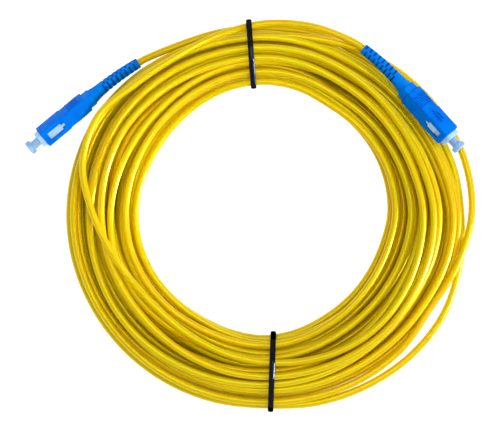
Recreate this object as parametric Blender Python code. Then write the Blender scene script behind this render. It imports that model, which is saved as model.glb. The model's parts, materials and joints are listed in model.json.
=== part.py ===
"""A fibre optic patch cord: a 3 mm cord wound in a coil, tied at its top and its bottom, with a
push-pull connector on each end.

Plan: the cord leaves connector A at the upper left, winds clockwise (seen from above) through 22
turns in four layers that spiral in and out, and ends in connector B, which lies on the coil at the
upper right. The coil lies on the floor, z = 0. Lengths are in metres, angles in degrees from +X.
"""
import math

import bmesh
import bpy
from mathutils import Matrix, Vector, kdtree

MM = 0.001

# Cord
CORD_D = 3.0 * MM
CORD_SPACING = 0.5 * MM         # least gap that is kept between two turns
FIT = 0.3 * MM                  # clearance between pieces that touch on the real product
FLOOR_CUT = CORD_D / 10         # depth of the flat on which the lowest turns stand
FLOOR_GAP = 0.05 * MM           # between the floor and the connector that lies on it
REST_GAP = 0.4 * MM             # between the turns and a rigid piece that lies on or round them

# Coil, seen from above: radii of the cord's centre line
COIL_CENTRE = (6.41 * MM, 1.39 * MM)
STATIONS = 24                   # points on each turn
START_ANGLE = 130.4             # where the cord leaves connector A's boot
END_ANGLE = 59.3                # where it enters connector B's boot
FULL_TURNS = 23
OUTER_EDGE = (                  # (angle, radius in mm) of the bundle's outer turns
    (0, 85.0), (15, 81.5), (30, 78.5), (60, 76.0), (90, 76.2), (110, 76.6), (130, 79.0),
    (150, 82.2), (180, 83.0), (210, 82.8), (240, 81.8), (270, 81.0), (300, 81.8), (330, 84.0),
    (345, 85.6))
INNER_EDGE = (
    (0, 52.4), (30, 52.4), (60, 52.0), (80, 54.2), (100, 54.6), (120, 53.8), (150, 53.0),
    (190, 54.0), (240, 51.8), (270, 53.0), (300, 51.6), (340, 51.0))
FIRST_TURN = (                  # (angle, radius in mm): the loose outer loop from connector A
    (130.4, 82.3), (120, 80.6), (110, 79.0), (100, 78.0), (90, 77.6), (78, 78.2), (69, 78.2),
    (60, 77.9), (45, 77.9), (30, 79.4), (18, 81.4), (10, 82.4), (3, 82.7), (-4, 83.5),
    (-10, 84.6), (-16, 85.6), (-22, 86.5), (-33, 87.3), (-42, 86.9), (-50, 86.1), (-58, 85.3),
    (-66, 84.5), (-75, 83.5), (-82, 82.6), (-92, 81.6), (-110, 82.2), (-150, 82.8),
    (-185, 82.4), (-220, 79.0), (-260, 74.0))
LAST_TURN = (                   # the turn on top, which sweeps out over the others to B
    (60, 71.0), (22, 71.4), (-10, 70.6), (-45, 68.4), (-75, 65.0), (-108, 61.8), (-125, 60.9),
    (-142, 61.4), (-157, 64.4), (-171, 68.9), (-180, 72.9), (-190, 77.8), (-197, 80.2),
    (-205, 81.5), (-214, 80.5), (-225, 76.8), (-232, 75.5), (-241, 75.5), (-252, 76.6),
    (-262, 78.2), (-270, 79.6), (-285, 80.9), (-300.7, 79.9))
LOOSE_TURN = (                  # a turn between the layers that strays out past the others
    (95, 74.8), (80, 75.6), (70, 77.2), (60, 79.3), (50, 81.3), (40, 83.1), (30, 85.2), (18, 86.9),
    (9, 88.0), (3, 87.8), (-5, 87.0), (-13, 85.1), (-19, 83.3), (-25, 81.9), (-33, 80.4),
    (-45, 80.0), (-60, 80.6))
LAYER_TURNS = (0.9, 6.52, 11.49, 16.98, 20.8)   # turns at which the spiral's five layers begin
TOP_LAYER_RATE = 0.195          # share of the bundle's width that the top two cross per turn
FIRST_TURN_JOINS = (0.75, 1.1)  # turns between which the first turn joins the spiral
LOOSE_TURN_SPAN = (11.1, 11.17, 11.44, 11.52)   # it leaves over the first two, joins over the last
LAST_TURN_LEAVES = (22.3, 22.55)
LEAD_SETTLES = 75               # angle over which the cord comes down from connector A
PASSING_AT = 6.5 * MM           # where the later turns pass connector A's boot, from its tail
LEAD_STRAIGHT = 1.5 * CORD_D    # straight at the end of a lead, where it meets the coil
SWAY = ((1.3 * MM, 2.11, 4.8), (0.9 * MM, 2.61, 0.8), (0.5 * MM, 2.13, 0.7))
SWAY_HELD = 60                  # angle each side of a tie within which it steadies the turns

# Ties
TIE_ANGLES = {"tie_top": 95, "tie_bottom": 272.5}
TIE_LEANS = {"tie_top": -0.7, "tie_bottom": -4.6}   # how far each is turned from its radius
TIE_MIDDLE = 67.5 * MM          # the radius at which it turns
TIE_W = 2.4 * MM
TIE_T = 1.3 * MM
TIE_CORNER = 0.45 * MM
TIE_SIDES = 28
TIE_TWIST_L = 11.0 * MM
TIE_TWIST_R = (1.3 * MM, 0.85 * MM)     # half width and half thickness of the twisted ends
TIE_TWIST_TURNS = 2.5
TIE_TWIST_POINTS = 6            # on each turn of the twist
TIE_LIFT_FLAT = 12              # angle each side of a tie over which the cord is lifted clear of it
TIE_LIFT_END = 42               # angle by which it is back on the floor

# Connector: sections are half sizes (across, high); stations run along x from the housing's front
HOUSING_L = 24.0 * MM
HOUSING = (4.5 * MM, 3.7 * MM)
HOUSING_WAIST = 0.25 * MM       # how far the grip behind the front block is drawn in
HOUSING_CORNER = 0.7 * MM
HOUSING_CHAMFER = 0.35 * MM
HOUSING_SIDES = 12
HOUSING_WALL = (0.7 * MM, 0.6 * MM)
HOUSING_BLOCK_L = 12.0 * MM
HOUSING_RIBS = 7
HOUSING_RIB_PITCH = 0.9 * MM
HOUSING_RIB_FROM = 15.6 * MM
HOUSING_RIB_SHAPE = (0.15, 0.45, 0.6)   # where a rib is up, goes down and ends, of its pitch
KEY_FROM, KEY_TO = 5.8 * MM, 11.9 * MM
KEY_W, KEY_H = 2.2 * MM, 0.9 * MM
KEY_RAMP_L, KEY_RAMP_H = 0.5 * MM, 0.35 * MM
KEY_REAR_EDGE = 0.2 * MM
KEY_SLOT_W, KEY_SLOT_D = 0.6 * MM, 0.7 * MM
KEY_SLOT_WALL = 0.8 * MM        # left in front of the slot along the key, and behind it
WINDOW_FROM, WINDOW_TO = 2.6 * MM, 9.4 * MM
WINDOW_W = 3.4 * MM
WINDOW_SLOT_TO, WINDOW_SLOT_W = 10.9 * MM, 1.5 * MM
SLIDE_TRAVEL = 2.0 * MM         # how far the housing slides back on its frame
FRAME_FRONT, FRAME_REAR = 2.0 * MM, -19.0 * MM
FRAME_CORNER = 0.6 * MM
FRAME_CHAMFER = 0.4 * MM
PAD_W, PAD_H = 2.8 * MM, 0.7 * MM
SOCKET_R = 2.25 * MM            # the frame's mouth round the ferrule
BULKHEAD = (-1.2 * MM, -2.4 * MM)
FERRULE_R = 1.25 * MM
FERRULE_TIP, FERRULE_REAR = 5.8 * MM, -4.7 * MM
FERRULE_TRAVEL = 0.8 * MM
FERRULE_CHAMFER = 0.35 * MM
FLANGE_R, FLANGE_REAR = 2.0 * MM, -5.2 * MM
BARREL_R, BARREL_REAR = 1.25 * MM, -9.3 * MM
BUFFER_R = 0.45 * MM
BUFFER_BORE_R = 0.8 * MM
SPRING_R, SPRING_WIRE_R = 1.83 * MM, 0.18 * MM
SPRING_CURLS = 7.5
SPRING_POINTS = 9               # on each curl
STOP_FRONT = -13.0 * MM
STOP_R = 2.0 * MM
STOP_COLLAR_R, STOP_COLLAR_L = 2.7 * MM, 1.2 * MM
STOP_BARREL_R, STOP_REAR = 1.42 * MM, -26.2 * MM
CRIMP_R = (1.8 * MM, 2.1 * MM)
CRIMP_FRONT, CRIMP_REAR = -20.9 * MM, -29.8 * MM
BOOT_FRONT, BOOT_BASE_REAR = -22.0 * MM, -27.3 * MM
BOOT_CONE_R = 3.35 * MM
BOOT_RIB_FROM, BOOT_RIB_R = -32.6 * MM, 2.7 * MM
BOOT_TAIL, BOOT_TAIL_R = -51.6 * MM, 2.25 * MM
BOOT_BORE_R = 1.75 * MM
BOOT_LIP = 0.3 * MM
BOOT_PARTS = 6                  # lengths in which its ribbed part curves
BOOT_REST_POINTS = 25           # along its middle, where it may lie on the turns
BOOT_SLOTS = 8                  # slots on each of its four sides
BOOT_SLOT_W = 0.7 * MM
BOOT_SLOT_FLOOR = 0.2 * MM      # wall left between a slot's floor and the bore
BEND_FROM = -31.0 * MM          # the boot curves from here to its tail
CAP_REAR, CAP_TIP = 0.0 * MM, 7.5 * MM
CAP_BORE_R, CAP_R = 1.52 * MM, 1.88 * MM
CAP_KNOB_R, CAP_KNOB_L = 3.0 * MM, 2.3 * MM
CAP_EDGE = 0.4 * MM
ROUND = 16                      # sides of a turned piece

# Where the connectors lie, in the coil's plan: the tail's place and how the plug points
PLUG_A = {"front": (-94.1 * MM, 31.4 * MM), "heading": 219.8, "bend": 9.0, "roll": -112.0}
PLUG_B = {"front": (77.4 * MM, 32.2 * MM), "heading": -47.7, "bend": -9.7, "roll": -45.0,
          "pitch": 3.5}


# ---------------------------------------------------------------- small geometry helpers

def smoothstep(t):
    t = min(1.0, max(0.0, t))
    return t * t * (3 - 2 * t)


def through(knots, x):
    """The smooth curve through (x, y) knots with rising x."""
    i = 0
    while i < len(knots) - 2 and x > knots[i + 1][0]:
        i += 1
    (x0, y0), (x1, y1) = knots[i], knots[i + 1]
    before = knots[i - 1] if i else knots[0]
    after = knots[i + 2] if i + 2 < len(knots) else knots[-1]
    h = x1 - x0
    t = (x - x0) / h
    m0 = (y1 - before[1]) / (x1 - before[0]) * h
    m1 = (after[1] - y0) / (after[0] - x0) * h
    return ((2 * t**3 - 3 * t**2 + 1) * y0 + (t**3 - 2 * t**2 + t) * m0
            + (3 * t**2 - 2 * t**3) * y1 + (t**3 - t**2) * m1)


def around(knots, angle):
    """The same curve through knots that repeat every 360 degrees, in metres."""
    wrapped = ([(a - 360, r) for a, r in knots[-2:]] + list(knots)
               + [(a + 360, r) for a, r in knots[:3]])
    return through(wrapped, angle % 360) * MM


def hermite(p0, d0, p1, d1, count):
    """Points of a smooth curve from p0 to p1 that leaves along d0 and arrives along d1."""
    reach = (p1 - p0).length
    found = []
    for i in range(count + 1):
        t = i / count
        found.append((2 * t**3 - 3 * t**2 + 1) * p0 + (t**3 - 2 * t**2 + t) * reach * d0
                     + (3 * t**2 - 2 * t**3) * p1 + (t**3 - t**2) * reach * d1)
    return found


# ---------------------------------------------------------------- the coil's route

def layer_share(turn):
    """How far out in the bundle's width the spiral is, 0 at its inner edge and 1 at its outer."""
    first, second, third, fourth, fifth = LAYER_TURNS
    if turn < second:
        return min(1.0, 1 - (turn - first) / (second - first))
    if turn < third:
        return (turn - second) / (third - second)
    if turn < fourth:
        return 1 - (turn - third) / (fourth - third)
    return (fifth - fourth - abs(turn - fifth)) * TOP_LAYER_RATE


def tie_distance(angle):
    """Angle to the nearest tie."""
    return min(abs((angle - tie + 180) % 360 - 180) for tie in TIE_ANGLES.values())


def drawn(knots, turn):
    """The radius of a turn drawn by hand, in metres."""
    return through([(-a, r) for a, r in knots], 360 * turn - START_ANGLE) * MM


def coil_radius(turn):
    """Radius of the cord's centre line after so many turns from connector A's boot."""
    angle = START_ANGLE - 360 * turn
    share = layer_share(turn)
    inner, outer = around(INNER_EDGE, angle), around(OUTER_EDGE, angle)
    sway = sum(size * math.sin(2 * math.pi * rate * turn + phase) for size, rate, phase in SWAY)
    sway *= smoothstep(tie_distance(angle) / SWAY_HELD) * 4 * max(0.0, share * (1 - share))
    radius = inner + share * (outer - inner) + sway
    joins, joined = FIRST_TURN_JOINS
    if turn < joined:
        hand = drawn(FIRST_TURN, turn)
        radius = hand + (radius - hand) * smoothstep((turn - joins) / (joined - joins))
    starts, started, ends, ended = LOOSE_TURN_SPAN
    if starts < turn < ended:
        loose = smoothstep((turn - starts) / (started - starts))
        loose *= smoothstep((ended - turn) / (ended - ends))
        radius += (drawn(LOOSE_TURN, turn - int(starts)) - radius) * loose
    leaves, left = LAST_TURN_LEAVES
    if turn > leaves:
        hand = drawn(LAST_TURN, turn - FULL_TURNS + 1)
        radius += (hand - radius) * smoothstep((turn - leaves) / (left - leaves))
    return radius


def floor_height(angle):
    """Least height of the cord's centre: on the floor, and lifted clear of the ties."""
    away = tie_distance(angle)
    lift = 1 - smoothstep((away - TIE_LIFT_FLAT) / (TIE_LIFT_END - TIE_LIFT_FLAT))
    over_tie = 2 * TIE_TWIST_R[0] + FIT + CORD_D / 2
    low = CORD_D / 2 - FLOOR_CUT
    return low + lift * (over_tie - low)


def laid_turns(height_at_a, height_at_b):
    """The cord's stations (angle, radius, height), each turn laid on those wound before it.

    The first station stands for connector A's boot, beside which the later turns pass. The last
    turn climbs at least to connector B's height.
    """
    step = 360 / STATIONS
    first = math.floor(START_ANGLE / step) * step
    last = math.ceil(END_ANGLE / step) * step - 360 * FULL_TURNS
    count = round((first - last) / step) + 1
    angles = [first + step] + [first - step * i for i in range(count)]
    radii = [BOOT_PASSES_AT] + [coil_radius((START_ANGLE - a) / 360) for a in angles[1:]]
    reach = [CORD_D + CORD_SPACING] * len(angles)
    reach[0] = BOOT_TAIL_R + CORD_D / 2 + CORD_SPACING
    heights = []
    parts = 4                       # places checked along each straight between two stations

    def need(place):
        """Least height at a place given in stations, over every earlier turn below it."""
        i, t = int(place), place - int(place)
        if i + 1 >= len(angles):
            i, t = len(angles) - 2, 1.0
        radius = radii[i] + t * (radii[i + 1] - radii[i])
        least = floor_height(angles[i] - t * step)
        below = i - STATIONS
        while below >= 0:
            r = radii[below] + t * (radii[below + 1] - radii[below])
            z = heights[below] + t * (heights[below + 1] - heights[below])
            clear = max(reach[below], reach[below + 1])
            apart = abs(radius - r)
            if apart < clear:
                least = max(least, z + math.sqrt(clear**2 - apart**2))
            below -= STATIONS
        return least

    def crest(i):
        """The highest need within half a station each way."""
        here = [i + k / parts for k in range(-parts // 2, parts // 2 + 1)]
        return max(need(p) for p in here if p >= 0)

    for i in range(len(angles)):
        ahead = min(i + 1, len(angles) - 1)
        height = 0.25 * crest(max(i - 1, 0)) + 0.5 * crest(i) + 0.25 * crest(ahead)
        from_a = 1 - smoothstep((START_ANGLE - angles[i]) / LEAD_SETTLES)
        height = max(height, height + (height_at_a - height) * from_a)
        to_b = smoothstep((START_ANGLE - angles[i]) / 360 - FULL_TURNS + 1)
        height = max(height, height_at_b * to_b)
        heights.append(max(height, need(i)))
        for k in range(1, parts):
            t = k / parts
            if i:
                short = need(i - 1 + t) - (heights[i - 1] * (1 - t) + heights[i] * t)
                if short > 0:
                    heights[i - 1] += short
                    heights[i] += short
    return list(zip(angles, radii, heights))


def place(angle, radius, height):
    a = math.radians(angle)
    return Vector((COIL_CENTRE[0] + radius * math.cos(a),
                   COIL_CENTRE[1] + radius * math.sin(a), height))


def print_least_gap(points):
    """Measure on points how near the coil's cord comes to itself, surface to surface."""
    spots, along = [], []
    travelled = 0.0
    for a, b in zip(points, points[1:]):
        n = max(1, round((b - a).length / (1.0 * MM)))
        for i in range(n):
            spots.append(a.lerp(b, i / n))
            along.append(travelled + (b - a).length * i / n)
        travelled += (b - a).length
    tree = kdtree.KDTree(len(spots))
    for i, p in enumerate(spots):
        tree.insert(p, i)
    tree.balance()
    least = min((d for i, p in enumerate(spots) for _, j, d in tree.find_range(p, 2 * CORD_D)
                 if abs(along[i] - along[j]) > 10 * CORD_D), default=2 * CORD_D)
    print(f"coil: {travelled:.3f} m of cord, least gap to itself {(least - CORD_D) / MM:.2f} mm")


# ---------------------------------------------------------------- meshes

def material(name, color, roughness, metallic=0.0, alpha=1.0):
    made = bpy.data.materials.new(name)
    made.use_nodes = True
    shader = made.node_tree.nodes["Principled BSDF"]
    shader.inputs["Base Color"].default_value = (*color, 1)
    shader.inputs["Roughness"].default_value = roughness
    shader.inputs["Metallic"].default_value = metallic
    shader.inputs["Alpha"].default_value = alpha
    made.diffuse_color = (*color, alpha)
    return made


def add_object(name, data, mat, parent=None):
    made = bpy.data.objects.new(name, data)
    bpy.context.collection.objects.link(made)
    made.parent = parent
    if mat:
        data.materials.append(mat)
    return made


def mesh_from(name, rings, joined):
    """Skin a row of rings. joined closes the row on itself; otherwise the end rings are capped."""
    made = bmesh.new()
    rows = [[made.verts.new(p) for p in ring] for ring in rings]
    pairs = list(zip(rows, rows[1:]))
    if joined:
        pairs.append((rows[-1], rows[0]))
    for one, two in pairs:
        n = len(one)
        for i in range(n):
            made.faces.new((one[i], one[(i + 1) % n], two[(i + 1) % n], two[i]))
    if not joined:
        made.faces.new(rows[0])
        made.faces.new(rows[-1])
    bmesh.ops.recalc_face_normals(made, faces=made.faces)
    mesh = bpy.data.meshes.new(name)
    made.to_mesh(mesh)
    made.free()
    mesh.shade_smooth()
    mesh.set_sharp_from_angle(angle=math.radians(35))
    return mesh


def circle(x, radius, sides=ROUND):
    turn = [2 * math.pi * (i + 0.5) / sides for i in range(sides)]
    return [Vector((x, radius * math.cos(a), radius * math.sin(a))) for a in turn]


def rounded(x, half, corner, sides=ROUND):
    """A rectangle with round corners, with as many points as a circle of the same sides."""
    steps = sides // 4 - 1
    found = []
    for quarter in range(4):
        sy, sz = ((1, 1), (-1, 1), (-1, -1), (1, -1))[quarter]
        for i in range(steps + 1):
            a = math.radians(90 * (quarter + i / steps))
            found.append(Vector((x, sy * (half[0] - corner) + corner * math.cos(a),
                                 sz * (half[1] - corner) + corner * math.sin(a))))
    return found


def turned(name, outer, inner=None, sides=ROUND):
    """A turned piece from (x, radius) profiles, front to rear; inner is its bore."""
    rings = [circle(x, r, sides) for x, r in outer]
    if inner:
        rings += [circle(x, r, sides) for x, r in reversed(inner)]
    return mesh_from(name, rings, joined=bool(inner))


def box(name, low, high):
    made = bmesh.new()
    size = Vector(high) - Vector(low)
    middle = (Vector(high) + Vector(low)) / 2
    bmesh.ops.create_cube(made, size=1.0, matrix=Matrix.Translation(middle)
                          @ Matrix.Diagonal((*size, 1)))
    mesh = bpy.data.meshes.new(name)
    made.to_mesh(mesh)
    made.free()
    return mesh


def joined_mesh(name, meshes):
    made = bmesh.new()
    for mesh in meshes:
        made.from_mesh(mesh)
    joined = bpy.data.meshes.new(name)
    made.to_mesh(joined)
    made.free()
    return joined


def combine(target, tool_mesh, operation):
    """Boolean a tool into an object; the tool stays hidden beside it."""
    tool = add_object(f"{target.name}_tool{len(target.modifiers)}", tool_mesh, None,
                      target.parent)
    tool.hide_render = True
    tool.display_type = "WIRE"
    step = target.modifiers.new(operation.lower(), "BOOLEAN")
    step.operation = operation
    step.solver = "EXACT"
    step.object = tool


def evaluated(obj):
    graph = bpy.context.evaluated_depsgraph_get()
    graph.update()
    return bpy.data.meshes.new_from_object(obj.evaluated_get(graph))


def tube(name, points, radius, mat, parent=None, resolution=2):
    """A round cord or wire along a row of points."""
    curve = bpy.data.curves.new(name, "CURVE")
    curve.dimensions = "3D"
    curve.twist_mode = "Z_UP"
    curve.bevel_depth = radius
    curve.bevel_resolution = resolution
    curve.use_fill_caps = True
    line = curve.splines.new("POLY")
    line.points.add(len(points) - 1)
    for spot, p in zip(line.points, points):
        spot.co = (*p, 1)
    return add_object(name, curve, mat, parent)


# ---------------------------------------------------------------- connector

def bend(p, plug):
    """Carry a point of the straight boot or lead to its place on the curved one."""
    along = BEND_FROM - p.x
    if along <= 0:
        return p.copy()
    total = math.radians(plug["bend"])
    length = BEND_FROM - BOOT_TAIL
    turn = total * min(along, length) / length
    arc = length / total
    centre = Vector((BEND_FROM - arc * math.sin(turn), arc * (1 - math.cos(turn)), 0))
    past = max(0.0, along - length)
    centre += past * Vector((-math.cos(turn), math.sin(turn), 0))
    side = Vector((math.sin(turn), math.cos(turn), 0))
    roll = Matrix.Rotation(math.radians(plug["roll"]), 3, "X")
    level = roll @ Vector((0, p.y, p.z))
    return roll.inverted() @ (centre + side * level.y + Vector((0, 0, level.z)))


def lead_route(plug, frame, beyond):
    """World points of a lead from the crimp, through the boot, to a spot past its tail."""
    spots = [STOP_REAR - FIT, BEND_FROM]
    parts = 3
    spots += [BEND_FROM + (BOOT_TAIL - BEND_FROM) * i / parts for i in range(1, parts + 1)]
    spots.append(BOOT_TAIL - beyond)
    return [frame @ bend(Vector((x, 0, 0)), plug) for x in spots]


def housing_mesh(name):
    """The outer housing: front block, waist with finger ribs, and the cavity for the frame."""
    y, z = HOUSING
    low = (y - HOUSING_WAIST, z - HOUSING_WAIST)
    chamfer = HOUSING_CHAMFER
    outer = [(0, (y - chamfer, z - chamfer)), (-chamfer, (y, z)),
             (-HOUSING_BLOCK_L, (y, z)), (-HOUSING_BLOCK_L - chamfer, low)]
    up, down, end = (share * HOUSING_RIB_PITCH for share in HOUSING_RIB_SHAPE)
    ridge = (low[0], z)
    for i in range(HOUSING_RIBS):
        at = -HOUSING_RIB_FROM - i * HOUSING_RIB_PITCH
        outer += [(at, low), (at - up, ridge), (at - down, ridge), (at - end, low)]
    outer += [(-HOUSING_L + chamfer, low), (-HOUSING_L, (low[0] - chamfer, low[1] - chamfer))]
    rings = [rounded(x, half, HOUSING_CORNER, HOUSING_SIDES) for x, half in outer]
    cavity = frame_half(FIT)
    for x in (-HOUSING_L, 0):
        rings.append(rounded(x, cavity, FRAME_CORNER, HOUSING_SIDES))
    return mesh_from(name, rings, joined=True)


def frame_half(extra=0.0):
    """Half section of the plug frame, or of the cavity round it."""
    return (HOUSING[0] - HOUSING_WALL[0] - FIT + extra, HOUSING[1] - HOUSING_WALL[1] - FIT + extra)


def window_cutter(name):
    """A stepped window, cut through both narrow sides of the housing."""
    through_y = 2 * HOUSING[0]
    outline = [(-WINDOW_FROM, WINDOW_W), (-WINDOW_TO, WINDOW_W),
               (-WINDOW_TO, WINDOW_SLOT_W), (-WINDOW_SLOT_TO, WINDOW_SLOT_W)]
    points = ([(x, w / 2) for x, w in outline] + [(x, -w / 2) for x, w in reversed(outline)])
    rings = [[Vector((x, side * through_y, z)) for x, z in points] for side in (-1, 1)]
    return mesh_from(name, rings, joined=False)


def key_mesh(name):
    """The key: a rib with a sloped front, on the housing's wide side."""
    root = HOUSING[1] - HOUSING_WALL[1] / 2
    top = HOUSING[1] + KEY_H
    rings = []
    for x, height in ((-KEY_FROM, top - KEY_RAMP_H), (-KEY_FROM - KEY_RAMP_L, top),
                      (-KEY_TO + KEY_REAR_EDGE, top), (-KEY_TO, top - KEY_REAR_EDGE)):
        rings.append([Vector((x, -KEY_W / 2, root)), Vector((x, KEY_W / 2, root)),
                      Vector((x, KEY_W / 2, height)), Vector((x, -KEY_W / 2, height))])
    return mesh_from(name, rings, joined=False)


def add_housing(name, parent, mat):
    made = add_object(name, housing_mesh(name), mat, parent)
    combine(made, key_mesh(name + "_key"), "UNION")
    top = HOUSING[1] + KEY_H
    slot = box(name + "_slot", (-KEY_TO + KEY_SLOT_WALL, -KEY_SLOT_W / 2, top - KEY_SLOT_D),
               (-KEY_FROM - KEY_SLOT_WALL, KEY_SLOT_W / 2, top + KEY_SLOT_D))
    combine(made, slot, "DIFFERENCE")
    combine(made, window_cutter(name + "_window"), "DIFFERENCE")
    return made


def add_frame(name, parent, mat):
    """The plug frame: a hollow block with a latch pad and its tab in each window of the housing."""
    half = frame_half()
    front = (half[0] - FRAME_CHAMFER, half[1] - FRAME_CHAMFER)
    rings = [rounded(FRAME_FRONT, front, FRAME_CORNER),
             rounded(FRAME_FRONT - FRAME_CHAMFER, half, FRAME_CORNER),
             rounded(FRAME_REAR, half, FRAME_CORNER)]
    made = add_object(name, mesh_from(name, rings, joined=False), mat, parent)
    pad_from, pad_to = -WINDOW_FROM - SLIDE_TRAVEL - FIT, -WINDOW_TO + FIT
    reach = half[0] + PAD_H
    combine(made, box(name + "_pads", (pad_to, -reach, -PAD_W / 2), (pad_from, reach, PAD_W / 2)),
            "UNION")
    tab_w = WINDOW_SLOT_W - 2 * FIT
    tabs = box(name + "_tabs", (-WINDOW_SLOT_TO + FIT, -reach, -tab_w / 2),
               (pad_from - FIT, reach, tab_w / 2))
    combine(made, tabs, "UNION")
    hole = FERRULE_R + FIT
    bore = STOP_R + FIT
    cutter = [(FRAME_FRONT + MM, SOCKET_R), (BULKHEAD[0], SOCKET_R), (BULKHEAD[0], hole),
              (BULKHEAD[1], hole), (BULKHEAD[1], bore), (FRAME_REAR - MM, bore)]
    combine(made, turned(name + "_bore", cutter), "DIFFERENCE")
    return made


def boot_outline(x):
    """Outer radius of the boot behind its base: a flared cone, then the slender ribbed part."""
    if x > BOOT_RIB_FROM:
        t = (BOOT_BASE_REAR - x) / (BOOT_BASE_REAR - BOOT_RIB_FROM)
        return BOOT_RIB_R + (BOOT_CONE_R - BOOT_RIB_R) * (1 - t)**2
    t = (BOOT_RIB_FROM - x) / (BOOT_RIB_FROM - BOOT_TAIL)
    return BOOT_RIB_R + (BOOT_TAIL_R - BOOT_RIB_R) * t


def boot_slots():
    """Cutters for the slots: a row on two sides, and a row half a pitch on over the other two."""
    pitch = (BOOT_RIB_FROM - BOOT_TAIL) / (BOOT_SLOTS + 0.5)
    wide = 2 * BOOT_CONE_R
    floor = BOOT_BORE_R + BOOT_SLOT_FLOOR
    cuts = []
    for i in range(2 * BOOT_SLOTS):
        rear = BOOT_RIB_FROM - pitch * (i + 1) / 2 + BOOT_SLOT_W / 2
        front = rear - BOOT_SLOT_W
        for low, high in ((-wide, -floor), (floor, wide)):
            if i % 2:
                cuts.append(box("slot", (front, -wide, low), (rear, wide, high)))
            else:
                cuts.append(box("slot", (front, low, -wide), (rear, high, wide)))
    return joined_mesh("boot_slots", cuts)


def add_boot(name, parent, mat, plug):
    """The boot: a square base in the housing, a cone and slotted ribs, curved to its tail."""
    base = frame_half()
    crimp_bore = CRIMP_R[1] + FIT
    step = CRIMP_REAR - FIT
    rings = [rounded(BOOT_FRONT, base, FRAME_CORNER), rounded(BOOT_BASE_REAR, base, FRAME_CORNER)]
    cone = [BOOT_BASE_REAR - BOOT_LIP, (BOOT_BASE_REAR + BOOT_RIB_FROM) / 2, BOOT_RIB_FROM]
    ribbed = [BOOT_RIB_FROM + (BOOT_TAIL - BOOT_RIB_FROM) * i / BOOT_PARTS
              for i in range(1, BOOT_PARTS)]
    rings += [circle(x, boot_outline(x)) for x in cone + ribbed]
    rings += [circle(BOOT_TAIL + BOOT_LIP, BOOT_TAIL_R), circle(BOOT_TAIL, BOOT_TAIL_R - BOOT_LIP / 2)]
    rings += [circle(x, BOOT_BORE_R) for x in [BOOT_TAIL] + ribbed[::-1] + [BOOT_RIB_FROM, step]]
    rings += [circle(step, crimp_bore), circle(BOOT_FRONT, crimp_bore)]
    made = add_object(name, mesh_from(name, rings, joined=True), mat, parent)
    combine(made, boot_slots(), "DIFFERENCE")
    cut = evaluated(made)
    made.modifiers.clear()
    for v in cut.vertices:
        v.co = bend(v.co, plug)
    made.data = cut
    return made


def add_spring(name, parent, mat):
    front = FLANGE_REAR - FIT - SPRING_WIRE_R
    rear = STOP_FRONT + FIT + SPRING_WIRE_R
    count = round(SPRING_CURLS * SPRING_POINTS)
    points = []
    for i in range(count + 1):
        a = 2 * math.pi * SPRING_CURLS * i / count
        points.append(Vector((front + (rear - front) * i / count,
                              SPRING_R * math.cos(a), SPRING_R * math.sin(a))))
    return tube(name, points, SPRING_WIRE_R, mat, parent, resolution=1)


def add_plug(suffix, plug, frame, mats):
    """One connector; the empty that carries it sits on its axis at the housing's front."""
    carrier = bpy.data.objects.new(f"plug_{suffix}", None)
    bpy.context.collection.objects.link(carrier)
    carrier.matrix_world = frame
    add_housing(f"outer_housing_{suffix}", carrier, mats["blue"])
    add_frame(f"plug_frame_{suffix}", carrier, mats["white"])

    name = f"ferrule_{suffix}"
    c = FERRULE_CHAMFER
    profile = [(FERRULE_TIP, FERRULE_R - c), (FERRULE_TIP - c, FERRULE_R), (FERRULE_REAR, FERRULE_R)]
    add_object(name, turned(name, profile), mats["ceramic"], carrier)

    name = f"ferrule_flange_{suffix}"
    front = BULKHEAD[1] - FIT
    seat = FERRULE_REAR - FIT
    outer = [(front, FLANGE_R), (FLANGE_REAR, FLANGE_R), (FLANGE_REAR, BARREL_R),
             (BARREL_REAR, BARREL_R)]
    inner = [(front, FERRULE_R + FIT), (seat, FERRULE_R + FIT), (seat, BUFFER_BORE_R),
             (BARREL_REAR, BUFFER_BORE_R)]
    add_object(name, turned(name, outer, inner), mats["steel"], carrier)

    add_spring(f"ferrule_spring_{suffix}", carrier, mats["steel"])

    name = f"stop_ring_{suffix}"
    collar = FRAME_REAR - FIT
    outer = [(STOP_FRONT, STOP_R), (collar, STOP_R), (collar, STOP_COLLAR_R),
             (collar - STOP_COLLAR_L, STOP_COLLAR_R), (collar - STOP_COLLAR_L, STOP_BARREL_R),
             (STOP_REAR, STOP_BARREL_R)]
    inner = [(STOP_FRONT, BUFFER_BORE_R), (STOP_REAR, BUFFER_BORE_R)]
    add_object(name, turned(name, outer, inner), mats["steel"], carrier)

    name = f"crimp_ring_{suffix}"
    add_object(name, turned(name, [(CRIMP_FRONT, CRIMP_R[1]), (CRIMP_REAR, CRIMP_R[1])],
                            [(CRIMP_FRONT, CRIMP_R[0]), (CRIMP_REAR, CRIMP_R[0])]),
               mats["steel"], carrier)

    name = f"buffered_fibre_{suffix}"
    fibre_front = seat - FERRULE_TRAVEL - FIT
    add_object(name, turned(name, [(fibre_front, BUFFER_R), (STOP_REAR, BUFFER_R)], sides=12),
               mats["buffer"], carrier)

    add_boot(f"boot_{suffix}", carrier, mats["blue"], plug)

    name = f"dust_cap_{suffix}"
    knob = CAP_TIP - CAP_KNOB_L
    outer = [(CAP_TIP, CAP_KNOB_R - CAP_EDGE), (CAP_TIP - CAP_EDGE, CAP_KNOB_R),
             (knob + CAP_EDGE / 2, CAP_KNOB_R), (knob, CAP_KNOB_R - CAP_EDGE / 2), (knob, CAP_R),
             (CAP_REAR, CAP_R), (CAP_REAR, CAP_BORE_R), (FERRULE_TIP + FIT, CAP_BORE_R)]
    add_object(name, mesh_from(name, [circle(x, r) for x, r in outer], joined=False),
               mats["cap"], carrier)


# ---------------------------------------------------------------- ties

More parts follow.
